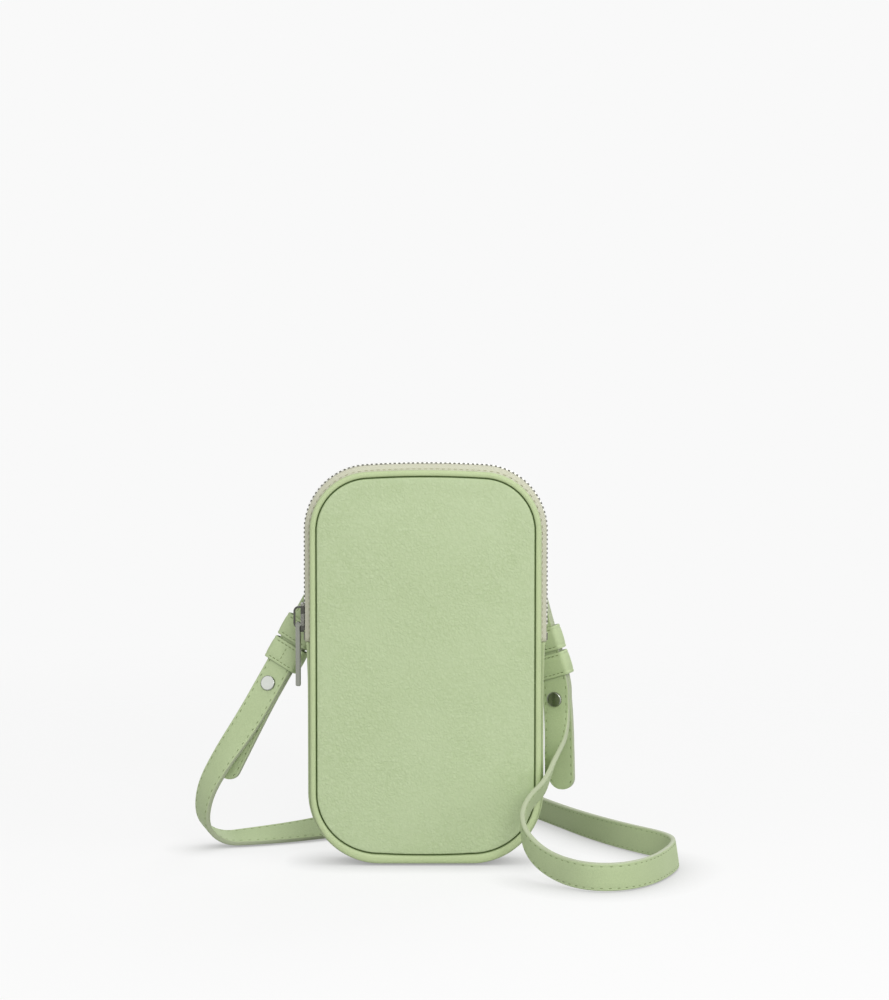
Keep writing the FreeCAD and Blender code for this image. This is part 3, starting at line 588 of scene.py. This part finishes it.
# the tail runs over the ring's bar, down behind the strap and on to a tip that narrows as an ellipse does
def strapTail(side):
    sizes = endSizes[side]
    s = tailSizes
    ring, leant, local = ringFrame(sizes), sleeveFrame(sizes), endFrame(sizes)
    radius = s["foldRadius"]
    back = strapSizes["thickness"] + s["gap"]
    lean, swing, tip = sizes["lean"], sizes["swing"], -sizes["length"]
    control = np.vstack([
        placeIn(ring, [(0, 0, 0), (0, 0, radius), (0, 2 * radius, radius), (0, 2 * radius, -radius)]),
        placeIn(leant, [(0, back + more, height) for more, height in s["through"]]),
        placeIn(local, [(sizes["shift"], back, 0), (lean * s["belowLean"], back, s["below"]),
                        (lean * s["midLean"], back + swing * s["midSwing"], tip * s["midway"]),
                        (lean, back + swing, tip)])])
    lay = np.repeat([place["axes"][0] for place in (ring, leant, local)], (4, 3, 4), axis=0)
    frames = bandFrames(control * mm, lay, s["resolution"])
    length = runLength(frames["middle"])[-1]
    reach = s["tip"]
    toTip = reach * (1 - np.cos(np.linspace(s["tipFrom"], math.pi / 2, s["tipRows"])))[::-1]
    distances = np.r_[np.linspace(0, length - reach, s["bodyRows"]), length - toTip[1:]]
    share = np.clip((distances - (length - reach)) / reach, 0, 1)
    narrow = s["tipWidth"] + (1 - s["tipWidth"]) * np.sqrt(np.maximum(1 - share ** 2, 0))
    tail = bandPiece("strap_tail_soft_" + side, framesAt(frames, distances), strapSizes, narrow)
    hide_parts("strap_tail_" + side)
    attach(tail, "pouch")
    for face, label in ((1, "_front"), (-1, "_back")):
        stitches = bandStitches("tail_stitching_" + side + label, frames, length + tip - s["stitchAbove"],
                                length - reach, strapSizes, face, tip=reach)
        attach(stitches, "pouch")


# rise and grown give the outer wall from its edge inwards, the second as a share of the wall
loopSizes = {
    "height": 10.8, "wall": 1.2, "innerHalf": 7.3, "front": -1.4, "back": 4.1, "keeper": 9.85, "loop": 21.85,
    "rise": np.array([0.25, 0.6, 1.0, 1.4, 1.9, 3.4]), "grown": np.array([0.84, 1.0, 1.0, 0.84, 1.02, 1.13]),
    "lip": np.array([(0.8, 0.06), (0.4, 0.0)]), "innerEdge": 0.2, "innerRows": 5, "columns": 48,
    "corner": 0.5, "cornerGrows": 1.7, "edgeShade": ([0.0, 0.4, 0.82], [1.0, 0.8, 0.0]), "stitchInset": 1.4,
    "stitchHalf": 5.2, "stitchCount": 6, "stitchShare": 0.9, "seamLift": 0.25, "seamRows": 5,
}


# a sleeve: a rounded oblong carried round, its wall a closed strip with soft edges; painted shade darkens its
# ends and its inside
def sleeve(kind, side, body):
    s = loopSizes
    height, wall, rise = s["height"], s["wall"], s["rise"]
    grown = s["grown"] * wall
    lip = s["lip"] * (wall, 1)
    outer = np.stack([np.r_[grown, grown[::-1]], np.r_[rise, height - rise[::-1]]], -1)
    inner = np.linspace((0.0, height - s["innerEdge"]), (0.0, s["innerEdge"]), s["innerRows"])
    section = np.vstack([outer, lip * (1, -1) + (0, height), inner, lip[::-1]])
    turn = ((np.arange(s["columns"]) + 0.5) * 2 * math.pi / s["columns"])[:, None]
    grow = section[None, :, 0]
    corner = s["corner"] + grow * s["cornerGrows"]
    halfDepth = (s["back"] - s["front"]) / 2
    x = np.sign(np.cos(turn)) * (s["innerHalf"] + grow - corner) + corner * np.cos(turn)
    y = np.sign(np.sin(turn)) * (halfDepth + grow - corner) + corner * np.sin(turn) + s["front"] + halfDepth
    z = np.broadcast_to(section[None, :, 1] + s[kind], x.shape)
    quads, _, _ = gridQuads(*x.shape, True, True)
    points = placeIn(sleeveFrame(endSizes[side]), np.stack([x, y, z], -1))
    # painted shade: darkest on the inner wall, fading over the lips to none on the outer wall
    piece = makePiece(kind + "_soft_" + side, points, quads.tolist(), [strapLeather], "strap_leather",
                      shade=np.interp(grow / wall, *s["edgeShade"]))
    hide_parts("strap_" + kind + "_" + side)
    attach(piece, body)


# rows of stitches across a sleeve's front and back, near its edges, and up its seam where that is in front
def sleeveStitches(kind, side, body, seam=False):
    s = loopSizes
    local = sleeveFrame(endSizes[side])
    low = s[kind] + s["stitchInset"]
    high = s[kind] + s["height"] - s["stitchInset"]
    front = s["front"] - s["wall"] * s["stitchShare"]
    back = s["back"] + s["wall"] * s["stitchShare"]
    spread = np.linspace(-s["stitchHalf"], s["stitchHalf"], s["stitchCount"])
    x, z, y = (values.ravel() for values in np.meshgrid(spread, (low, high), (front, back), indexing="ij"))
    rise = np.linspace(low, high, s["seamRows"])[1:-1] if seam else np.zeros(0)
    upright = np.r_[np.zeros(len(z)), np.ones(len(rise))][:, None]
    x = np.r_[x, rise * 0]
    y = np.r_[y, rise * 0 + front - s["seamLift"]]
    z = np.r_[z, rise]
    up = np.where(y[:, None] < 0, -1.0, 1.0) * local["axes"][1]
    along = local["axes"][0] * (1 - upright) + local["axes"][2] * upright
    places = placeIn(local, np.stack([x, y, z], -1))
    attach(stitchPiece(kind + "_stitching_" + side, places, along, up), body)


chapeSizes = {
    "width": 11.0, "thickness": 1.15, "length": 19.0, "barBack": -0.65, "barRise": 8.0, "radius": 1.825,
    "firstLie": 0.25, "secondLie": 0.8, "settled": 10.0, "meets": (0.6, 6.0), "stitchFrom": 15.0,
    "stitchTo": 1.0, "stitchInset": 1.4, "stitchPitch": 3.2, "stitchLength": 2.0, "stitchLift": 0.45,
    "resolution": 12,
}


# one strip up the back panel, round the ring's upper bar and back up behind itself
def chape(side):
    s = chapeSizes
    ring = ringFrame(endSizes[side])
    bar = placeIn(ring, (0, tailSizes["foldRadius"], 0))
    origin = np.array([bar[0], strapRoute[0][1] / mm, bar[2]])
    local = frameOf(origin, (1.0, 0.0, 0.0), unit(ring["axes"][2] * (1.0, 0.0, 1.0)))
    y, z, r = s["barBack"], s["barRise"], s["radius"]
    top = z + s["length"]
    settled = z + s["settled"]
    first = y - r - s["firstLie"]
    second = y - s["secondLie"]
    control = placeIn(local, [
        (0, first, top), (0, first, settled), (0, y - r, z + r), (0, y - r, z - r), (0, y + r, z - r),
        (0, y + r, z + r), (0, y - s["meets"][0], z + s["meets"][1]), (0, second, settled), (0, second, top)])
    lay = np.repeat(local["axes"][:1], len(control), 0)
    frames = bandFrames(control * mm, lay, s["resolution"])
    piece = bandPiece("chape_soft_" + side, frames, s)
    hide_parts("chape_" + side)
    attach(piece, "pouch")
    total = runLength(frames["middle"])[-1]
    start, end = total - s["stitchFrom"], total - s["stitchTo"]
    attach(bandStitches("chape_stitching_" + side, frames, start, end, s, 1), "pouch")


for side in ("left", "right"):
    strapTail(side)
    sleeve("loop", side, "pouch")
    sleeve("keeper", side, "keeper_" + side)
    sleeveStitches("loop", side, "pouch")
    sleeveStitches("keeper", side, "keeper_" + side, side == "left")
    chape(side)
print("strap ends made")


outlineSizes = {
    "halfWidth": 48.6, "base": 4.2, "top": 174.2, "baseCorner": 28.0, "topCorner": 23.5, "crown": 420.0,
    "fold": 100.0, "gap": 0.15, "step": 1.8,
}


# rows of x, z and the way out along a straight run, without its last point
def straightRow(x0, z0, x1, z1, outX, outZ):
    count = max(2, round(math.hypot(x1 - x0, z1 - z0) / outlineSizes["step"]))
    t = np.arange(count) / count
    return np.stack([x0 + (x1 - x0) * t, z0 + (z1 - z0) * t, np.full(count, outX), np.full(count, outZ)], -1)


# the same round an arc from one angle to another
def bendRow(x, z, radius, start, end):
    count = max(6, round(abs(end - start) * radius / outlineSizes["step"]))
    turn = start + (end - start) * np.arange(count) / count
    return np.stack([x + radius * np.cos(turn), z + radius * np.sin(turn), np.cos(turn), np.sin(turn)], -1)


# the pouch seen from the front: base line, corner, side, corner and crown, then the same mirrored;
# the lower and upper parts end at the fold
def pouchOutline(part):
    s = outlineSizes
    half = s["halfWidth"]
    baseX = half - s["baseCorner"]
    baseZ = s["base"] + s["baseCorner"]
    topX = half - s["topCorner"]
    inner = s["crown"] - s["topCorner"]
    lean = math.asin(topX / inner)
    crownZ = s["top"] - s["crown"]
    topZ = crownZ + inner * math.cos(lean)
    low = s["fold"] + s["gap"] if part == "upper" else baseZ
    high = s["fold"] - s["gap"] if part == "lower" else topZ
    rows = [straightRow(-half, low, -half, high, -1, 0)]
    end = (-half, high, -1, 0)
    if part != "upper":
        rows = [straightRow(0, s["base"], -baseX, s["base"], 0, -1),
                bendRow(-baseX, baseZ, s["baseCorner"], -math.pi / 2, -math.pi)] + rows
    if part != "lower":
        rows += [bendRow(-topX, topZ, s["topCorner"], math.pi, math.pi / 2 + lean),
                 bendRow(0, crownZ, s["crown"], math.pi / 2 + lean, math.pi / 2)]
        end = (0, s["top"], 0, 1)
    left = np.vstack(rows + [end])
    right = left * (-1, 1, -1, 1)
    if part == "lower":
        return np.vstack([left[::-1], right[1:]])
    return np.vstack([left, right[-2::-1] if part == "upper" else right[-2:0:-1]])


# a section of (way out, depth) carried along the outline; both may change from row to row
def carried(rows, outward, depth):
    x = rows[:, None, 0] + rows[:, None, 2] * outward
    z = rows[:, None, 1] + rows[:, None, 3] * outward
    return np.stack([x, np.broadcast_to(depth, x.shape), z], -1)


panelSizes = {
    "depth": 12.5, "thickness": 1.3, "crown": 0.9, "crownPower": 1.5, "roll": 0.8, "rollPower": 0.7,
    "inset": 0.0, "baseLift": 0.7, "baseBow": 0.6, "restLow": 46.0, "restHigh": 48.0, "shadeWidth": 0.3,
    "rollRows": 7, "faceRows": 16, "backRows": 6,
}


# how much the outline faces down, squared, so that it fades round the corners
def facesDown(rows):
    return np.clip(-rows[:, 3], 0, 1) ** 2


# how far the panel's edge stands up along the base: a lift and a bow that grow towards the corners
def baseRise(rows, s):
    reach = np.clip(np.abs(rows[:, 0]) / (outlineSizes["halfWidth"] - outlineSizes["baseCorner"]), 0, 1)
    return facesDown(rows) * (s["baseLift"] + s["baseBow"] * reach ** 2)


# a crowned sheet: rings shrink from the rolled edge to a line up the middle, then the same behind;
# a lining has no painted seam shade and takes its map from x and z
def panelPiece(name, side, s, material, slot, lining=False):
    rows = pouchOutline("all")
    depth, thick, inset, roll = (s[key] for key in ("depth", "thickness", "inset", "roll"))
    over = np.linspace(0, math.pi / 2, s["rollRows"])
    face = np.linspace(1, 0, s["faceRows"])[1:]
    back = np.linspace(0, 1, s["backRows"])[:-1]
    shares = np.r_[back, np.ones(len(over)), face]
    insets = inset + roll * np.r_[back * 0, 1 - np.cos(over), face * 0 + 1]
    ups = depth + np.r_[back * 0 - thick, thick * (np.sin(over) ** s["rollPower"] - 1),
                        s["crown"] * (1 - face ** 2) ** s["crownPower"]]
    points = carried(rows, -insets - baseRise(rows, s)[:, None], side * ups)
    rest = np.clip(rows[:, 1], outlineSizes["base"] + s["restLow"],
                   outlineSizes["top"] - s["restHigh"])[:, None]
    points[..., 0] *= shares
    points[..., 2] = rest + (points[..., 2] - rest) * shares
    quads, _, _ = gridQuads(*points.shape[:2], closeRows=True)
    if lining:
        extra = {"uv": points.reshape(-1, 3)[quads][..., [0, 2]]}
    else:
        # painted shade on the rolled edge, darkest at the groove by the rim
        extra = {"shade": np.clip(1 - (insets - inset) / s["shadeWidth"], 0, 1) * (shares == 1)}
    return makePiece(name, points, quads.tolist(), [material], slot, **extra)


rimSizes = {
    "inner": 0.3, "outer": 3.05, "back": 9.0, "wall": 9.8, "side": 11.0, "face": 12.3, "flange": 4.0,
    "floor": 11.15, "under": 10.3, "baseDrop": 0.45, "beadPowers": (0.8, 0.85), "floorEnd": 0.25,
    "wallIn": 0.05, "backIn": 0.35, "underIn": 0.2, "shadeWidth": 0.3, "seamDepth": 0.2, "wallShade": 0.4,
    "wallShadeFrom": 11.1, "beadPoints": 15,
}


# a round bead, an ellipse with softened powers, with a flange that goes in behind the panel; painted shade
# darkens it by the groove and, more lightly, on its outer wall
def rimPiece(name, side):
    s = rimSizes
    inner, outer, flange = s["inner"], s["outer"], s["flange"]
    rows = pouchOutline("all")
    turn = np.linspace(0, math.pi, s["beadPoints"])
    half = (outer - inner) / 2
    widePower, highPower = s["beadPowers"]
    bead = np.stack([inner + half - half * np.sign(np.cos(turn)) * np.abs(np.cos(turn)) ** widePower,
                     s["side"] + (s["face"] - s["side"]) * np.sin(turn) ** highPower], -1)
    section = np.vstack([
        [(-flange, s["floor"]), (inner - s["floorEnd"], s["floor"])], bead,
        [(outer - s["wallIn"], s["wall"]), (outer - s["backIn"], s["back"]), (inner, s["back"]),
         (inner - s["underIn"], s["under"]), (-flange, s["under"])]])
    out, depth = section.T
    share = np.clip((out - inner) / (outer - inner), 0, 1)
    outward = (out - np.outer(baseRise(rows, panelSizes), 1 - share)
               + np.outer(s["baseDrop"] * facesDown(rows), share))
    points = carried(rows, outward, side * depth)
    quads, _, _ = gridQuads(*points.shape[:2], True, True)
    # painted shade: near darkens the bead's edge by the groove, far the outer wall by the tape
    near = np.clip(1 - (out - inner) / s["shadeWidth"], 0, 1) * (depth < s["face"] - s["seamDepth"])
    far = s["wallShade"] * np.clip((out - outer) / s["shadeWidth"] + 1, 0, 1) * (depth < s["wallShadeFrom"])
    return makePiece(name, points, quads.tolist(), [rimLeather], "rim_leather", shade=np.maximum(near, far))


# a strip across the depth, carried along part of the outline, with its wall and its two ends closed;
# its map is the distance along and the distance round
def stripPiece(name, rows, outward, inward, depth, material, slot, shade=None, mapped=False):
    points = np.hstack([carried(rows, outward, depth), carried(rows, inward, depth)[:, ::-1]])
    count, cols = points.shape[:2]
    quads, cornerRow, cornerCol = gridQuads(count, cols, closeCols=True)
    faces = quads.tolist() + endFans(count, cols, count * cols)
    allPoints = np.vstack([points.reshape(-1, 3), points[[0, -1]].mean(1)])
    uv = None
    if mapped:
        along = runLength(rows[:, :2])
        around = runLength(np.vstack([points[0], points[0, :1]]))
        sheet = np.stack([along[cornerRow], around[cornerCol]], -1).reshape(-1, 2)
        uv = np.vstack([sheet, np.zeros((6 * cols, 2))])
    if shade is not None:
        shade = np.r_[np.hstack([shade, shade[:, ::-1]]).ravel(), 0, 0]
    return makePiece(name, allPoints, faces, [material], slot, shade=shade, uv=uv, weld=False)


# across and drop give half of the section: shares of the half depth, and how far the edge falls away
gussetSizes = {
    "offset": 4.2, "thickness": 1.5, "half": 9.0, "flare": 0.8, "flareLength": 24.0, "thinnest": 0.3,
    "across": np.array([0.0, 0.5, 0.78, 0.87, 0.94, 0.985, 1.0]),
    "drop": np.array([0.0, 0.0, 0.03, 0.14, 0.38, 0.72, 1.0]), "hemBelow": 3.2, "hemHalf": 0.9,
    "hemShade": 0.35, "edgeShade": 0.5,
}


# the side wall: flat under the base, flared a little where it meets the zip, with the square of the height;
# painted shade lies in a line at the hem and where its edges fall away
def gussetPiece():
    s = gussetSizes
    rows = pouchOutline("lower")
    below = outlineSizes["fold"] - rows[:, 1:2]
    across = np.r_[-s["across"][:0:-1], s["across"]]
    drop = np.r_[s["drop"][:0:-1], s["drop"]]
    flare = s["flare"] * np.clip(1 - below / s["flareLength"], 0, 1) ** 2
    outward = s["offset"] - drop + flare * (1 - drop)
    inward = np.minimum(s["offset"] - s["thickness"], outward - s["thinnest"])
    # painted shade: a dark line at the hem below the zip's end, and darker where the edges fall away towards
    # the rims
    hem = np.clip(1 - np.abs(below - s["hemBelow"]) / s["hemHalf"], 0, 1)
    shade = np.maximum(hem * s["hemShade"] * (1 - drop), s["edgeShade"] * drop ** 2)
    return stripPiece("gusset_soft", rows, outward, inward, s["half"] * across, rimLeather, "rim_leather",
                      shade)


# the tape parts below a height, over a length: at the slider on the left, at the zip's end on the right
tapeSizes = {
    "thickness": 0.7, "seam": 1.8, "stand": 5.1, "seamDepth": 9.0, "flat": 5.6, "edge": 1.45,
    "parted": 3.15, "slope": np.array([0.0, 0.12, 0.3, 0.5, 0.7, 0.85, 0.95, 1.0]), "flatRows": 4,
    "partLeft": (113.8, 6.6), "partRight": (106.0, 1.8),
}


# half of the zip's cloth: out of the seam in a smooth step, then flat to the teeth
def tapePiece(node, side, body):
    s = tapeSizes
    rows = pouchOutline("upper")
    slope = s["slope"]
    top, length = np.where(rows[:, :1] < 0, s["partLeft"], s["partRight"]).T
    edge = s["edge"] + (s["parted"] - s["edge"]) * np.clip((top - rows[:, 1]) / length, 0, 1)
    flat = np.linspace(0, 1, s["flatRows"] + 1)[1:]
    fall = s["seamDepth"] + (s["flat"] - s["seamDepth"]) * slope
    depth = np.hstack([np.tile(fall, (len(rows), 1)), s["flat"] + (edge[:, None] - s["flat"]) * flat])
    lift = slope * slope * (3 - 2 * slope)
    middle = np.r_[s["seam"] + (s["stand"] - s["seam"]) * lift, np.full(s["flatRows"], s["stand"])]
    outward, inward = (np.broadcast_to(middle + way * s["thickness"] / 2, depth.shape) for way in (1, -1))
    piece = stripPiece(node + "_soft", rows, outward, inward, side * depth, tapeCloth, "zip_cloth",
                       mapped=True)
    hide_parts(node)
    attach(piece, body)


seamStitchSizes = {
    "pitch": 2.6, "end": 1.5, "out": 3.5, "depth": 8.0, "upOut": 0.66, "upFront": 0.75, "length": 1.5,
    "half": 0.13,
}


# stitches on the tape's slope beside the rim, evenly along the outline
def zipSeamStitches(name, side, body):
    s = seamStitchSizes
    rows = pouchOutline("upper")
    length = runLength(rows[:, :2])
    count = int(length[-1] / s["pitch"])
    at = np.linspace(s["end"], length[-1] - s["end"], count)
    x, z, outX, outZ = (np.interp(at, length, rows[:, index]) for index in range(4))
    out = unit(np.stack([outX, np.zeros(count), outZ], -1))
    front = np.array([0.0, side, 0.0])
    places = np.stack([x, np.zeros(count), z], -1) + out * s["out"] + front * s["depth"]
    along = unit(np.cross(out, front))
    up = unit(out * s["upOut"] + front * s["upFront"])
    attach(stitchPiece(name, places, along, up, s["length"], s["half"], seamThread, "zip_cloth"), body)


hemStitchSizes = {"reach": 7.0, "count": 6, "heights": (96.9, 98.4), "length": 1.8, "half": 0.2}


# two rows of stitches across each of the gusset's folded ends, on its flare
def hemStitches():
    s = hemStitchSizes
    side, y, z = (values.ravel() for values in np.meshgrid(
        (-1.0, 1.0), np.linspace(-s["reach"], s["reach"], s["count"]), s["heights"], indexing="ij"))
    flare = gussetSizes["flare"] * ((z - outlineSizes["fold"]) / gussetSizes["flareLength"] + 1) ** 2
    places = np.stack([side * (outlineSizes["halfWidth"] + gussetSizes["offset"] + flare), y, z], -1)
    out = np.outer(side, (1.0, 0.0, 0.0))
    along = np.broadcast_to(np.array([0.0, 1.0, 0.0]), places.shape)
    piece = stitchPiece("gusset_stitching", places, along, out, s["length"], s["half"], slot="rim_leather")
    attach(piece, "pouch")


frontPanel = panelPiece("front_panel_soft", -1, panelSizes, panelLeather, "panel_leather")
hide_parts("front_panel_lower", "front_panel_upper")
backPanel = panelPiece("back_panel_soft", 1, dict(panelSizes, crown=0.0), panelLeather, "panel_leather")
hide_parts("back_panel")
frontRim = rimPiece("front_rim_soft", -1)
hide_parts("front_rim_lower", "front_rim_upper")
backRim = rimPiece("back_rim_soft", 1)
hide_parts("back_rim")
gusset = gussetPiece()
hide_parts("gusset")
tapePiece("zip_tape_front", -1, "flap")
tapePiece("zip_tape_back", 1, "pouch")
zipSeamStitches("zip_stitching_front", -1, "flap")
zipSeamStitches("zip_stitching_back", 1, "pouch")
hemStitches()

liningSizes = dict(panelSizes, depth=10.2, thickness=0.6, crown=0.0, roll=0.3, inset=0.5, baseLift=0.0,
                   baseBow=0.0)
stripSizes = {"outer": 2.65, "inner": 2.1, "half": 9.0, "cols": 9}


# area inside the outline drawn in by the inset, as half the sum of x z' - x' z from point to next point
def insideArea(rows, inset):
    x = rows[:, 0] - rows[:, 2] * inset
    z = rows[:, 1] - rows[:, 3] * inset
    return abs(np.dot(x, np.roll(z, -1)) - np.dot(z, np.roll(x, -1))) / 2


# a lining is cut to the outline and glued out flat over its board
def liningPiece(name, side):
    inset = liningSizes["inset"]
    piece = panelPiece(name, side, liningSizes, liningCloth, "lining_cloth", lining=True)
    area = insideArea(pouchOutline("all"), inset)
    return piece


frontLining = liningPiece("front_lining_soft", -1)
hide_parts("front_lining_lower", "front_lining_upper")
backLining = liningPiece("back_lining_soft", 1)
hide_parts("back_lining")
lowRows = pouchOutline("lower")
across = np.linspace(-1.0, 1.0, stripSizes["cols"]) * stripSizes["half"]
outward, inward = (np.full((len(lowRows), len(across)), stripSizes[key]) for key in ("outer", "inner"))
gussetLining = stripPiece("gusset_lining_soft", lowRows, outward, inward, across, liningCloth, "lining_cloth",
                          mapped=True)
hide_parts("gusset_lining")

for piece in (frontPanel, frontRim, frontLining):
    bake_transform(piece)
for piece in (backPanel, backRim, gusset, backLining, gussetLining):
    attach(piece, "pouch")
print("pouch made")


# metal and inner nodes keep their solids and take finishes
finishes = (
    (toothMetal, ("zip_teeth_front", "zip_teeth_back", "zip_end_stops")),
    (sliderMetal, ("slider_body", "slider_crown")),
    (pullMetal, ("pull_pin", "pull_tab")),
    (hardwareMetal, ("rivet_cap_left", "rivet_cap_right", "rivet_post_left", "rivet_post_right",
                     "strap_ring_left", "strap_ring_right")),
    (edgePaint, ("front_board_lower", "front_board_upper", "back_board")),
)
for finish, names in finishes:
    for materialSlot in (entry for name in names for entry in nodes[name].material_slots):
        materialSlot.material = finish
print("finishes set on", sum(len(names) for _, names in finishes), "nodes")


# greys of the floor, of the light that it throws back, of its contact shade and of the background;
# lengths in metres
stageLook = {
    "floor": 0.93, "bounce": 0.52, "half": 2.0, "drop": 0.0002, "fadeFrom": 0.3, "fadeTo": 0.9,
    "rough": 0.9, "glow": 0.985, "glowShare": 0.76, "contact": 0.022, "contactShade": 0.4,
    "background": 0.947, "world": 0.38, "contactRays": 8,
}


# the same value in red, green and blue
def grey(key):
    return rgb([stageLook[key]] * 3)


# one for a ray that the camera, a shiny surface or a clear one sends, and nought for the rest
def seenRay(tree):
    ray = put(tree, "LightPath")
    shown = mathNode(tree, "MAXIMUM", ray.outputs["Is Camera Ray"], ray.outputs["Is Glossy Ray"])
    return mathNode(tree, "MAXIMUM", shown, ray.outputs["Is Transmission Ray"])


# pale floor that keeps part of its real shadow, with a painted contact shadow close to what stands on it,
# that fades out into the background
def floorStage():
    s = stageLook
    half, low = s["half"], -s["drop"]
    mesh = bpy.data.meshes.new("floor")
    mesh.from_pydata([(-half, -half, low), (half, -half, low), (half, half, low), (-half, half, low)], [],
                     [(0, 1, 2, 3)])
    floor = bpy.data.objects.new("floor", mesh)
    bpy.context.scene.collection.objects.link(floor)
    material, tree, shader = newMaterial("floorPale")
    place = put(tree, "TexCoord").outputs["Object"]
    reach = put(tree, "VectorMath", {0: place}, operation="LENGTH")
    fade = ranged(tree, reach.outputs["Value"], s["fadeFrom"], s["fadeTo"], 1.0, 0.0, "SMOOTHSTEP")
    shown = seenRay(tree)
    feed(tree, shader, {"Base Color": colourMix(tree, shown, grey("bounce"), grey("floor")),
                        "Roughness": s["rough"], "Specular IOR Level": 0.0})
    # painted contact shadow: an ambient occlusion node darkens the floor's glow near what stands on it
    near = put(tree, "AmbientOcclusion", {"Distance": s["contact"]}, samples=s["contactRays"])
    tone = colourMix(tree, near.outputs["AO"], grey("contactShade"), grey("glow"))
    glow = put(tree, "Emission", {"Color": tone, "Strength": 1.0})
    share = mathNode(tree, "MULTIPLY", shown, s["glowShare"])
    lit = put(tree, "MixShader", {0: share, 1: shader.outputs[0], 2: glow.outputs[0]})
    clear = put(tree, "BsdfTransparent")
    faded = put(tree, "MixShader", {0: fade, 1: clear.outputs[0], 2: lit.outputs[0]})
    feed(tree, findNode(tree, "OUTPUT_MATERIAL"), {"Surface": faded.outputs[0]})
    mesh.materials.append(material)


# even white light from all round, and a pale background where it is seen
def worldLight():
    world = bpy.data.worlds.new("studio")
    bpy.context.scene.world = world
    world.use_nodes = True
    tree = world.node_tree
    light = put(tree, "Background", {"Color": (1, 1, 1, 1), "Strength": stageLook["world"]})
    white = put(tree, "Background", {"Color": grey("background"), "Strength": 1.0})
    mix = put(tree, "MixShader", {0: seenRay(tree), 1: light.outputs[0], 2: white.outputs[0]})
    feed(tree, findNode(tree, "OUTPUT_WORLD"), {"Surface": mix.outputs[0]})


# each lamp looks at a height above the middle of the base
lamps = {
    "keyLamp": {"place": (0.4, -1.8, 0.8), "aim": 0.08, "size": 0.8, "power": 15.8},
    "fillLamp": {"place": (-1.25, -1.4, 0.75), "aim": 0.08, "size": 1.4, "power": 7.0},
    "sideLamp": {"place": (1.4, -0.9, 0.6), "aim": 0.08, "size": 1.2, "power": 6.5},
    "backLamp": {"place": (0.5, 1.5, 1.2), "aim": 0.06, "size": 1.0, "power": 7.0},
    "topLamp": {"place": (0.2, -0.3, 1.8), "aim": 0.08, "size": 0.8, "power": 6.6},
}


# a square lamp, tipped and turned by the angles of the line from its place to its aim
def addLamp(name, look):
    data = bpy.data.lights.new(name, "AREA")
    data.size = look["size"]
    data.energy = look["power"]
    lamp = bpy.data.objects.new(name, data)
    bpy.context.scene.collection.objects.link(lamp)
    way = unit(np.array((0.0, 0.0, look["aim"])) - look["place"])
    lamp.location = look["place"]
    lamp.rotation_euler = (math.acos(-way[2]), 0, math.atan2(way[0], -way[1]) + math.pi)


floorStage()
worldLight()
for name, look in lamps.items():
    addLamp(name, look)
bpy.context.scene.view_settings.view_transform = "Standard"
print("stage and light set")
